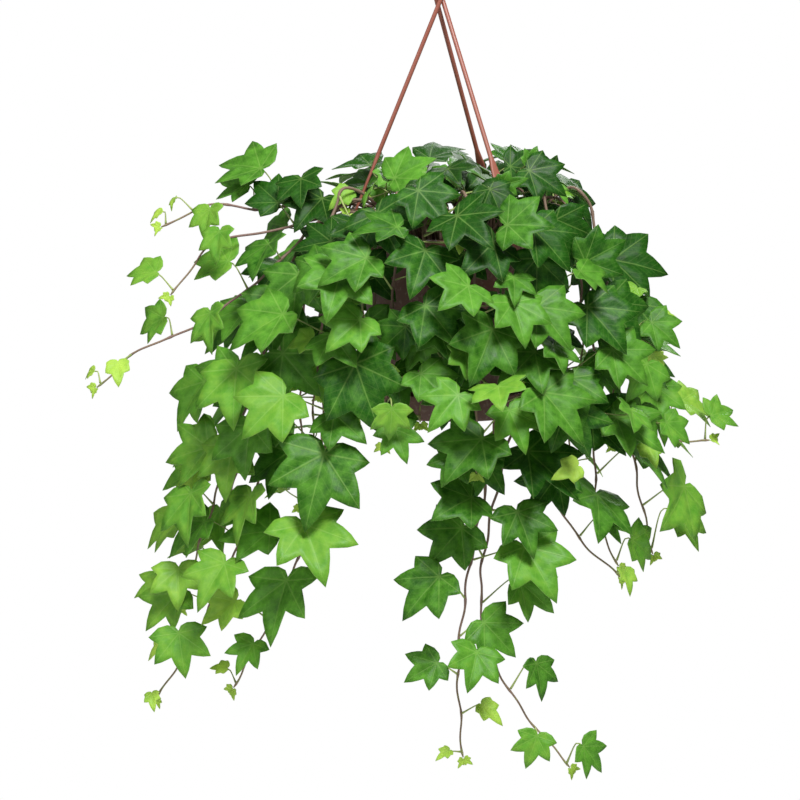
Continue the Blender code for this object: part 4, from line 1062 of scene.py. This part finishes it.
def drill(target, name, holes):
    """Round holes through a piece, each (centre, radius), cut by one hidden object."""
    points, faces = [], []
    for centre, radius in holes:
        line = [centre + Vector((0, 0, z)) for z in (-DRILL_HALF, DRILL_HALF)]
        made, corners, _ = tube(line, radius, CUTTER_FACETS)
        faces += [tuple(i + len(points) for i in face) for face in corners]
        points += made.tolist()
    cutter = mesh_object(name, points, faces)
    cutter.hide_render = True
    cutter.hide_viewport = True
    cut = target.modifiers.new("Holes", "BOOLEAN")
    cut.object = cutter
    cut.solver = "EXACT"


def build_pot(finish):
    pot = lathe("pot_shell", pot_profile(), POT_FACETS, finish, True)
    holes = [(round_pot(b, ARM_CIRCLE, RIM_Z), NECK_RADIUS + FIT_GAP) for b in ARMS.values()]
    for i in range(DRAIN_COUNT):
        holes.append((round_pot(360 * i / DRAIN_COUNT, BASE_RADIUS * DRAIN_SHARE, POT_FOOT), DRAIN_RADIUS))
    drill(pot, "pot_hole_cutter", holes)
    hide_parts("pot")


def build_saucer(finish):
    """The clip-on saucer: a shallow dish with a ring in its floor, and a headed stud in the middle."""
    rim = SAUCER_FOOT + SAUCER_HEIGHT
    foot = SAUCER_FOOT_RADIUS
    ring = SAUCER_FLOOR + DISH_RING
    inner, outer = (foot * share for share in DISH_RING_SHARES)
    corners = [(0.0, STUD_TOP), (STUD_HEAD, STUD_TOP), (STUD_HEAD, FLOOR_TOP + FIT_GAP),
               (STUD_RADIUS, FLOOR_TOP + FIT_GAP), (STUD_RADIUS, SAUCER_FLOOR), (inner, SAUCER_FLOOR),
               (inner, ring), (outer, ring), (outer, SAUCER_FLOOR), (foot - SAUCER_WALL, SAUCER_FLOOR),
               (SAUCER_RADIUS - SAUCER_WALL, rim), (SAUCER_RADIUS, rim), (foot, SAUCER_FOOT),
               (0.0, SAUCER_FOOT)]
    saucer = lathe("saucer_dish", fillet(corners, DISH_EDGE), POT_FACETS, finish, False)
    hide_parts("drip_saucer")


def bumps(points, height, size, seed):
    """Smooth random heights, a sum of sine waves of about the given length, seldom past the height."""
    rng = np.random.default_rng(seed)
    waves = rng.normal(size=(WAVES, 3)) * 2 * np.pi / size
    phases = rng.uniform(0, 2 * np.pi, WAVES)
    return height * np.sin(points @ waves.T + phases).sum(axis=1) / WAVES ** 0.5 / WAVES_MOST


def heap_height(away, reach):
    """The soil's height over its distance from the pot's axis: level, then a smooth step down."""
    edge = MOUTH_RADIUS * HEAP_SHARE
    down = np.clip((away - edge) / (reach - edge), 0.0, 1.0)
    return SOIL_TOP + SOIL_CROWN * (1 - down * down * (3 - 2 * down))


def build_soil(finish, crumb_finish, perlite_finish):
    """The potting mix: a heaped turned surface, roughened, with crumbs of bark and white perlite."""
    slope = (MOUTH_RADIUS - BASE_RADIUS) / (POT_HEIGHT - POT_WALL)
    top_radius = MOUTH_RADIUS - POT_WALL - slope * SOIL_DEPTH - 2 * FIT_GAP
    low = FLOOR_TOP + FIT_GAP
    radii = np.linspace(0, top_radius, SOIL_ROWS)
    heap = heap_height(radii, top_radius)
    foot = BASE_RADIUS - POT_WALL - 2 * FIT_GAP
    recess = STUD_HEAD + 2 * FIT_GAP
    below = [(foot, low), (recess, low), (recess, STUD_TOP + 2 * FIT_GAP), (0.0, STUD_TOP + 2 * FIT_GAP)]
    profile = np.concatenate([np.stack([radii, heap], axis=1), below])
    soil = lathe("soil_surface", profile, SOIL_FACETS, finish, False)
    mesh = soil.data
    points = np.zeros(len(mesh.vertices) * 3)
    mesh.vertices.foreach_get("co", points)
    points = points.reshape(-1, 3)
    loose = points[:, 2] > SOIL_TOP - SOIL_ROUGH_BELOW
    points[loose, 2] += bumps(points[loose], *SOIL_LUMPS) + bumps(points[loose], *SOIL_GRAIN)
    mesh.vertices.foreach_set("co", points.ravel())
    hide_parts("potting_soil")
    for (name, (count, size, seed)), crumb in zip(CRUMBS.items(), (crumb_finish, perlite_finish)):
        scatter(name, count, size, top_radius, crumb, seed)


def scatter(name, count, size, reach, finish, seed):
    """Lumps lying on the soil: each a 20-faced ball, roughened, stretched and turned at random."""
    rng = np.random.default_rng(seed)
    work = bmesh.new()
    bmesh.ops.create_icosphere(work, subdivisions=1, radius=1.0)
    ball = np.array([v.co for v in work.verts])
    faces = np.array([[v.index for v in f.verts] for f in work.faces])
    work.free()
    away = reach * np.sqrt(rng.uniform(0, LUMP_EDGE, count))
    turn = rng.uniform(0, 2 * np.pi, count)
    places = [away * np.cos(turn), away * np.sin(turn), heap_height(away, reach)]
    middles = np.stack(places, axis=1) + np.array(POT_AXIS)
    middles[:, 2] += bumps(middles, *SOIL_LUMPS) + LUMP_RISE
    stretch = rng.uniform(*LUMP_STRETCH, (count, 1, 3)) * rng.uniform(*LUMP_STRETCH, (count, 1, 1)) * size
    turned, _ = np.linalg.qr(rng.normal(size=(count, 3, 3)))
    turned *= np.sign(np.linalg.det(turned))[:, None, None]
    lumps = ball * (1 + LUMP_ROUGH * rng.normal(size=(count, len(ball), 1))) * stretch
    points = np.einsum("nij,nkj->nki", turned, lumps) + middles[:, None]
    corners = faces + np.arange(count)[:, None, None] * len(ball)
    return new_piece(name, points.reshape(-1, 3), corners.reshape(-1, 3).tolist(), [finish])


# ---- hanger -----------------------------------------------------------------------------------
ROD_SECTIONS = 60                # along an arm, from its socket to the end of the strap
ROD_FACETS = 20
SQUARED = 0.55                   # below 1, a flat section's corners are squared off
FLAT_FROM = 1.2                  # a section is flat if it is this much wider than it is thick
FLARE_RISE = 0.0035              # how far above the rim the strap has narrowed to the neck's flare
FLARE = 1.25                     # of the neck's width
FOOT_FULL = 0.0007               # how far below the flange the foot is at its widest
FOOT_SHOULDER = 0.92             # of that width, at the foot's upper edge
SHANK_FLARE = 1.3                # of the hook's wire, where the collar narrows to it
SHANK_FLARE_RISE = 0.0012        # how far above the collar's shoulder that is
SHANK_SUNK = 0.002               # how far down inside the collar the wire starts
SHANK_STEP = 0.001               # between the points of its first stretch
HOOK_TURN = (-60, 211)           # degrees round the hook's bend that its wire runs
HOOK_SECTIONS = 60


def arm_surface(bearing):
    """One moulded arm: a round rod that widens smoothly into a flat strap, then a neck and a foot.

    Each section is a superellipse; its half widths, its corner power and its middle run along the arm
    through the chosen places with a smooth step between them.
    """
    outward, tangent, top, end = (np.array(place) for place in arm_places(bearing))
    centre = np.array(round_pot(bearing, ARM_CIRCLE, 0.0))
    stations = [(top + [0, 0, ARM_TOP - top[2]], ARM_RADIUS, ARM_RADIUS)]
    for share in np.linspace(0.0, STRAP_END, ROD_SECTIONS):
        grown = np.clip((share - STRAP_START) / (STRAP_FULL - STRAP_START), 0, 1)
        grown = grown * grown * (3 - 2 * grown)
        wide = ARM_RADIUS + (STRAP_WIDTH / 2 - ARM_RADIUS) * grown
        thin = ARM_RADIUS + (STRAP_THICKNESS / 2 - ARM_RADIUS) * grown
        stations.append((top + (end - top) * share, wide, thin))
    for z, radius in ((RIM_Z + FLARE_RISE, NECK_RADIUS * FLARE), (RIM_Z + NECK_RISE, NECK_RADIUS),
                      (UNDER_FLANGE, NECK_RADIUS), (UNDER_FLANGE - FOOT_EDGE, FOOT_RADIUS * FOOT_SHOULDER),
                      (UNDER_FLANGE - FOOT_FULL, FOOT_RADIUS),
                      (UNDER_FLANGE - FOOT_HEIGHT, FOOT_RADIUS * FOOT_TAPER)):
        stations.append((centre + [0, 0, z], radius, radius))
    turn = 2 * np.pi * np.arange(ROD_FACETS) / ROD_FACETS
    middles = np.array([s[0] for s in stations])
    wide, thin = (np.array([s[k] for s in stations])[:, None, None] for k in (1, 2))
    power = np.where(wide > FLAT_FROM * thin, SQUARED, 1.0)
    cos, sin = np.cos(turn)[None, :, None], np.sin(turn)[None, :, None]
    rings = (middles[:, None] + wide * tangent * np.sign(cos) * np.abs(cos) ** power
             + thin * outward * np.sign(sin) * np.abs(sin) ** power)
    points = np.concatenate([rings.reshape(-1, 3), middles[:1], middles[-1:]])
    return points, closed_faces(len(stations), ROD_FACETS)


def build_hanger(finish):
    """The arms, and the hook: a turned collar, and a tube up its shank and round part of a circle."""
    for name, bearing in ARMS.items():
        arm = new_piece(f"hanger_rod_{name}", *arm_surface(bearing), [finish])
        face_outwards(arm.data)
        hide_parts("hanger_arm_" + name)
    collar = [(0.0, SHANK_FOOT), (HOOK_WIRE, SHANK_FOOT),
              (HOOK_WIRE * SHANK_FLARE, -COLLAR_TOP + SHANK_FLARE_RISE), (COLLAR_RADIUS, -COLLAR_TOP),
              (COLLAR_RADIUS, COLLAR_FOOT), (0.0, COLLAR_FOOT)]
    profile = fillet(collar, COLLAR_EDGE)
    collar = lathe("hanger_collar", profile, COLLAR_FACETS, finish, False, Vector())
    bend = HOOK_INNER + HOOK_WIRE
    turn = np.radians(np.linspace(*HOOK_TURN, HOOK_SECTIONS))
    line = np.stack([bend * np.cos(turn), 0 * turn, bend * np.sin(turn) - HOOK_INNER], axis=1)
    foot, neck = Vector((0, 0, SHANK_FOOT - SHANK_SUNK)), Vector((0, 0, SHANK_FOOT + SHANK_STEP))
    shank = smooth([foot, neck, Vector(line[0])], SHANK_STEP)
    line = np.concatenate([np.array(shank)[:-1], line])
    points, faces, _ = tube(line, HOOK_WIRE, ROD_FACETS)
    wire = new_piece("hanger_hook_rod", points, faces, [finish])
    for made in (collar, wire):
        face_outwards(made.data)
        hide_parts("hanger_hook")


# ---- materials --------------------------------------------------------------------------------
# The veins' sizes are in leaf lengths, as the blade's own places are.
VEIN_HALF = (0.026, 0.007)       # half the width of a main vein at its foot and at its tip
SIDE_SLANT = 1.15                # how far out a side vein runs for each length along
SIDE_GAP = 0.065                 # from one side vein to the next
SIDE_HALF = 0.012
SIDE_SHARE = 0.42                # how strongly it shows beside a main vein
NET_CELLS = 24.0                 # of the finest veins in a length, so about 1.7 mm on a grown leaf
NET_HALF = 0.10                  # half the width of their lines, in shares of a cell
NET_SHARE = 0.20


def shade_of(code):
    """A colour picked as sRGB hex, as the linear values that shaders take."""
    parts = [int(code[i:i + 2], 16) / 255 for i in (1, 3, 5)]
    return tuple(p / 12.92 if p <= 0.04045 else ((p + 0.055) / 1.055) ** 2.4 for p in parts) + (1.0,)


def put(tree, kind, inputs=None, stops=None, **settings):
    """Adds a node with its settings; inputs take plain values, other nodes or their sockets."""
    made = tree.nodes.new("ShaderNode" + kind)
    for name, value in settings.items():
        setattr(made, name, value)
    for name, value in (inputs or {}).items():
        if isinstance(value, bpy.types.Node):
            value = value.outputs[0]
        if isinstance(value, bpy.types.NodeSocket):
            tree.links.new(value, made.inputs[name])
        else:
            made.inputs[name].default_value = value
    for number, (position, code) in enumerate(stops or []):
        elements = made.color_ramp.elements
        stop = elements[number] if number < 2 else elements.new(position)
        stop.position = position
        stop.color = shade_of(code)
    return made


def every(millimetres):
    """The texture scale, on places in metres, that gives a pattern one lump in so many millimetres."""
    return 1000.0 / millimetres


def blank_material(name):
    """A material with an output and nothing else: the material, its node tree and the output."""
    made = bpy.data.materials.new(name)
    made.use_nodes = True
    tree = made.node_tree
    tree.nodes.clear()
    return made, tree, tree.nodes.new("ShaderNodeOutputMaterial")


def opaque_skin(tree, output, colour, roughness, height, strength, depth):
    """One opaque skin: a colour, a roughness, and a height that shades as relief of a depth in metres."""
    relief = put(tree, "Bump", {"Height": height, "Strength": strength, "Distance": depth})
    skin = put(tree, "BsdfPrincipled", {"Base Color": colour, "Roughness": roughness, "Normal": relief})
    tree.links.new(skin.outputs[0], output.inputs["Surface"])


def mottled_tone(tree, pattern, most):
    """The piece's own tone for each point, moved up or down by a pattern."""
    tone = put(tree, "Attribute", attribute_name="tone").outputs["Fac"]
    moved = put(tree, "MapRange", {"Value": pattern, "From Min": 0.25, "From Max": 0.75, "To Min": -most,
                                   "To Max": most})
    return put(tree, "Math", {0: tone, 1: moved}, operation="ADD")


def vein_map(tree):
    """Pale lines over a blade: one main vein to each lobe, side veins off it, and a fine net.

    The angle from the tip folds every lobe onto the first, so one rule draws all five.
    """
    place = put(tree, "UVMap", uv_map="own_place")
    split = put(tree, "SeparateXYZ", {0: place})
    width = put(tree, "Math", {0: split.outputs["Y"]}, operation="ABSOLUTE")
    angle = put(tree, "Math", {0: width, 1: split.outputs["X"]}, operation="ARCTAN2")
    fold = put(tree, "Math", {0: angle, 1: LOBE_SPREAD / 2}, operation="PINGPONG")
    reach = put(tree, "VectorMath", {0: place}, operation="LENGTH").outputs["Value"]
    beside, onward = (put(tree, "Math", {0: reach, 1: put(tree, "Math", {0: fold}, operation=part)},
                          operation="MULTIPLY") for part in ("SINE", "COSINE"))
    taper = put(tree, "MapRange", {"Value": reach, "To Min": VEIN_HALF[0], "To Max": VEIN_HALF[1]})
    main = put(tree, "MapRange", {"Value": beside, "From Max": taper, "To Min": 1.0, "To Max": 0.0},
               interpolation_type="SMOOTHSTEP")
    slant = put(tree, "Math", {0: beside, 1: -SIDE_SLANT, 2: onward}, operation="MULTIPLY_ADD")
    spaced = put(tree, "Math", {0: slant, 1: SIDE_GAP}, operation="PINGPONG")
    side = put(tree, "MapRange", {"Value": spaced, "From Max": SIDE_HALF, "To Min": SIDE_SHARE,
                                  "To Max": 0.0}, interpolation_type="SMOOTHSTEP")
    cells = put(tree, "TexVoronoi", {"Vector": place, "Scale": NET_CELLS}, feature="DISTANCE_TO_EDGE")
    net = put(tree, "MapRange", {"Value": cells.outputs["Distance"], "From Max": NET_HALF,
                                 "To Min": NET_SHARE, "To Max": 0.0})
    fine = put(tree, "Math", {0: side, 1: net}, operation="MAXIMUM")
    return put(tree, "Math", {0: main, 1: fine}, operation="MAXIMUM")


def leaf_material(name, stops, vein_code, vein_share, roughness):
    """Living ivy leaf. Its wax gives a satin sheen, and the thin tissue glows where light is behind it.

    Its mottling is about 8 mm wide. The pits between its cells are far finer than the 1.1 mm drawn here,
    which is as fine as shows.
    """
    made, tree, output = blank_material(name)
    veins = vein_map(tree)
    here = put(tree, "TexCoord").outputs["Object"]
    mottle = put(tree, "TexNoise", {"Vector": here, "Scale": every(7.7), "Detail": 3.0, "Roughness": 0.6})
    green = put(tree, "ValToRGB", {0: mottled_tone(tree, mottle, 0.13)}, stops=stops)
    pale = put(tree, "Math", {0: veins, 1: vein_share}, operation="MULTIPLY")
    colour = put(tree, "Mix", {"Factor": pale, "A": green, "B": shade_of(vein_code)}, data_type="RGBA")
    colour = colour.outputs["Result"]
    rough = put(tree, "MapRange", {"Value": mottle, "From Min": 0.3, "From Max": 0.7,
                                   "To Min": roughness, "To Max": roughness + 0.16})
    grain = put(tree, "TexNoise", {"Vector": here, "Scale": every(1.11), "Detail": 2.0})
    height = put(tree, "Math", {0: grain, 1: 0.25, 2: veins}, operation="MULTIPLY_ADD")
    relief = put(tree, "Bump", {"Height": height, "Strength": 0.50, "Distance": 0.00025})
    skin = put(tree, "BsdfPrincipled", {"Base Color": colour, "Roughness": rough, "Normal": relief,
                                        "Coat Weight": 0.04, "Coat Roughness": 0.30,
                                        "Specular IOR Level": 0.22})
    glow = put(tree, "Mix", {"Factor": 0.30, "A": colour, "B": shade_of("#8fd01a")}, data_type="RGBA")
    behind = put(tree, "BsdfTranslucent", {"Color": glow.outputs["Result"], "Normal": relief})
    both = put(tree, "MixShader", {0: 0.26, 1: skin, 2: behind})
    tree.links.new(both.outputs[0], output.inputs["Surface"])
    return made


def bark_material():
    """Ivy stem and leaf stalk: tan wood at the root, purple-brown young bark, yellow-green stalks.

    The bark is dull, with ridges along it about 6 mm long, nine round a stem, and patches of 4 mm.
    """
    made, tree, output = blank_material("ivy_bark_and_stalks")
    here = put(tree, "TexCoord").outputs["Object"]
    patch = put(tree, "TexNoise", {"Vector": here, "Scale": every(3.85), "Detail": 4.0})
    tone = mottled_tone(tree, patch, 0.16)
    share = put(tree, "Math", {0: tone, 1: STALK_TONES[1]}, operation="DIVIDE")
    stops = [(0.0, "#6e5a48"), (0.22, "#75604f"), (0.45, "#775c55"), (0.62, "#7d6a52"), (0.76, "#80914e"),
             (1.0, "#96a65e")]
    colour = put(tree, "ValToRGB", {0: share}, stops=stops)
    place = put(tree, "UVMap", uv_map="own_place")
    strand = put(tree, "VectorMath", {0: place, 1: (9.0, every(6.25), 1.0)}, operation="MULTIPLY")
    ridges = put(tree, "TexNoise", {"Vector": strand, "Scale": 1.0, "Detail": 3.0})
    rough = put(tree, "MapRange", {"Value": ridges, "To Min": 0.50, "To Max": 0.80})
    opaque_skin(tree, output, colour, rough, ridges, 0.6, 0.0003)
    return made


def moulded_plastic(name, codes, roughness, dusty):
    """Injection-moulded polypropylene: a satin skin with faint flow marks and a thin dust of soil.

    The flow marks are about 36 mm across and the dust specks 2.4 mm. The mould's texture is finer than
    the 0.67 mm drawn here, which is as fine as shows.
    """
    made, tree, output = blank_material(name)
    here = put(tree, "TexCoord").outputs["Object"]
    flow = put(tree, "TexNoise", {"Vector": here, "Scale": every(35.7), "Detail": 4.0, "Distortion": 0.6})
    base = put(tree, "ValToRGB", {0: flow}, stops=[(0.25, codes[0]), (0.75, codes[1])])
    specks = put(tree, "TexNoise", {"Vector": here, "Scale": every(2.38), "Detail": 3.0})
    dust = put(tree, "MapRange", {"Value": specks, "From Min": 0.52, "From Max": 0.72, "To Max": dusty})
    colour = put(tree, "Mix", {"Factor": dust, "A": base, "B": shade_of("#a99c88")}, data_type="RGBA")
    rough = put(tree, "MapRange", {"Value": flow, "From Min": 0.3, "From Max": 0.7, "To Min": roughness,
                                   "To Max": roughness + 0.14})
    pebble = put(tree, "TexNoise", {"Vector": here, "Scale": every(0.667), "Detail": 2.0})
    opaque_skin(tree, output, colour.outputs["Result"], rough, pebble, 0.25, 0.0001)
    return made


def loose_mix(name, codes, lump, depth):
    """Crumbly matter, such as peat, bark or perlite: dull, mottled and rough to the eye.

    Its mottling has lumps of the given millimetres, and its relief has lumps a quarter as wide.
    """
    made, tree, output = blank_material(name)
    here = put(tree, "TexCoord").outputs["Object"]
    lumps = put(tree, "TexNoise", {"Vector": here, "Scale": every(lump), "Detail": 5.0, "Roughness": 0.65})
    colour = put(tree, "ValToRGB", {0: lumps}, stops=[(0.30, codes[0]), (0.52, codes[1]), (0.72, codes[2])])
    fine = put(tree, "TexNoise", {"Vector": here, "Scale": every(lump / 4), "Detail": 3.0})
    rough = put(tree, "MapRange", {"Value": lumps, "To Min": 0.80, "To Max": 1.0})
    opaque_skin(tree, output, colour, rough, fine, 0.8, depth)
    return made


# ---- studio -----------------------------------------------------------------------------------
VIEW_DISTANCE = 2.2
VIEW_RISE = math.radians(8)
VIEW_WIDTH = 0.584           # how much is seen across, at the pot
VIEW_CENTRE = Vector((POT_SHIFT - 0.038, 0.0, RIM_Z - 0.123))
SENSOR = 36.0
FLOOR_DROP = 0.95
FLOOR_RADIUS = 2.4
FLOOR_SIDES = 96
FLOOR_FADE = (0.8, 1.6)      # from where to where the floor turns into the sweep behind it
WORLD_FILL = 0.21            # the sweep's light on the plant, beside how bright the sweep looks
LIGHT_AIM = Vector((0.0, 0.0, -0.3))
SOFTBOXES = {                # place, width in metres and power in watts
    "key_softbox": (Vector((0.45, -1.5, 1.7)), 0.8, 96.0),
    "fill_softbox": (Vector((-1.7, -1.2, 0.6)), 1.4, 14.0),
    "back_softbox": (Vector((0.5, 1.9, 0.9)), 1.2, 30.0),
}


def floor_material():
    """Matt emulsion paint, rolled: chalky white, with roller marks 11 cm apart and 2.5 mm of stipple.

    Away from the plant it fades into the lit sweep behind.
    """
    made, tree, output = blank_material("matt_painted_floor")
    here = put(tree, "TexCoord").outputs["Object"]
    marks = put(tree, "TexNoise", {"Vector": here, "Scale": every(111), "Detail": 4.0})
    colour = put(tree, "ValToRGB", {0: marks}, stops=[(0.3, "#f4f4f3"), (0.7, "#fafaf9")])
    grain = put(tree, "TexNoise", {"Vector": here, "Scale": every(2.5)})
    relief = put(tree, "Bump", {"Height": grain, "Strength": 0.2, "Distance": 0.0002})
    paint = put(tree, "BsdfPrincipled", {"Base Color": colour, "Roughness": 0.85, "Normal": relief})
    away = put(tree, "VectorMath", {0: here}, operation="LENGTH").outputs["Value"]
    fade = put(tree, "MapRange", {"Value": away, "From Min": FLOOR_FADE[0], "From Max": FLOOR_FADE[1]},
               interpolation_type="SMOOTHSTEP")
    sweep = put(tree, "Emission", {"Strength": 1.0})
    mixed = put(tree, "MixShader", {0: fade, 1: paint, 2: sweep})
    tree.links.new(mixed.outputs[0], output.inputs["Surface"])
    return made


def softbox(name, place, width, power):
    data = bpy.data.lights.new(name, "AREA")
    data.size = width
    data.energy = power
    lamp = bpy.data.objects.new(name, data)
    lamp.location = place
    lamp.rotation_euler = (LIGHT_AIM - place).to_track_quat("-Z", "Y").to_euler()
    bpy.context.scene.collection.objects.link(lamp)


def build_studio():
    scene = bpy.context.scene
    scene.view_settings.view_transform = "Standard"
    data = bpy.data.cameras.new("viewpoint")
    data.sensor_width = SENSOR
    data.lens = SENSOR * VIEW_DISTANCE / VIEW_WIDTH
    camera = bpy.data.objects.new("viewpoint", data)
    back = Vector((0.0, -math.cos(VIEW_RISE), math.sin(VIEW_RISE)))
    camera.location = VIEW_CENTRE + back * VIEW_DISTANCE
    camera.rotation_euler = (-back).to_track_quat("-Z", "Y").to_euler()
    scene.collection.objects.link(camera)
    scene.camera = camera
    world = bpy.data.worlds.new("white_sweep")
    world.use_nodes = True
    sky = world.node_tree.nodes["Background"]
    sky.inputs["Color"].default_value = (1.0, 1.0, 1.0, 1.0)
    seen = put(world.node_tree, "LightPath").outputs["Is Camera Ray"]
    strength = put(world.node_tree, "MapRange", {"Value": seen, "To Min": WORLD_FILL, "To Max": 1.0})
    world.node_tree.links.new(strength.outputs[0], sky.inputs["Strength"])
    scene.world = world
    for name, (place, width, power) in SOFTBOXES.items():
        softbox(name, place, width, power)
    turn = 2 * np.pi * np.arange(FLOOR_SIDES) / FLOOR_SIDES
    rim = FLOOR_RADIUS * np.stack([np.cos(turn), np.sin(turn), 0 * turn], axis=1)
    floor = mesh_object("floor", rim, [tuple(range(FLOOR_SIDES))])
    floor.location.z = RIM_Z - FLOOR_DROP
    floor.data.materials.append(floor_material())


# ---- the whole plant --------------------------------------------------------------------------
SAME_WITHIN = 0.001          # how far a leaf may reach out of its CAD node's box


def same_place(name, vine):
    """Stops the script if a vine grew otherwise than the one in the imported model."""
    low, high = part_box(name)
    for leaf in vine.leaves.values():
        for point in leaf.outline():
            if any(not low[k] - SAME_WITHIN < point[k] < high[k] + SAME_WITHIN for k in range(3)):
                raise ValueError(f"{name} has grown outside its CAD node")


def main():
    leaf_stops = [(0.0, "#0c3703"), (0.22, "#1e5709"), (0.50, "#5f9e2f"), (0.76, "#88b93f"), (1.0, "#b6d956")]
    back_stops = [(0.0, "#5c8340"), (0.28, "#6d9648"), (0.52, "#7fa950"), (0.78, "#9cc058"), (1.0, "#bfd970")]
    finishes = {
        "leaf": leaf_material("ivy_leaf_upper_side", leaf_stops, "#a6cc6c", 0.26, 0.40),
        "underside": leaf_material("ivy_leaf_underside", back_stops, "#c6dca0", 0.5, 0.55),
        "bark": bark_material(),
    }
    # Painted shade: the pot is the hanger's terracotta plastic, given darker browns for the shade it hangs in
    # under the leaves.
    pot_plastic_with_painted_shade = moulded_plastic("pot_polypropylene_with_painted_shade", ("#4a2a1e", "#553224"), 0.46, 0.16)
    build_studio()
    build_pot(pot_plastic_with_painted_shade)
    build_saucer(pot_plastic_with_painted_shade)
    build_soil(loose_mix("peat_potting_mix", ("#1a120c", "#2e2218", "#4b392a"), 2.38, 0.0012),
               loose_mix("bark_crumb", ("#2e1f14", "#4a3423", "#6b4e36"), 1.67, 0.0006),
               loose_mix("perlite", ("#c9c4ba", "#e2ded6", "#f3f0ea"), 1.11, 0.0004))
    build_hanger(moulded_plastic("hanger_polypropylene", ("#894c3d", "#905444"), 0.38, 0.04))
    for name, vine in grow_plant().items():
        same_place(name, vine)
        dress_vine(name, vine, finishes)


main()
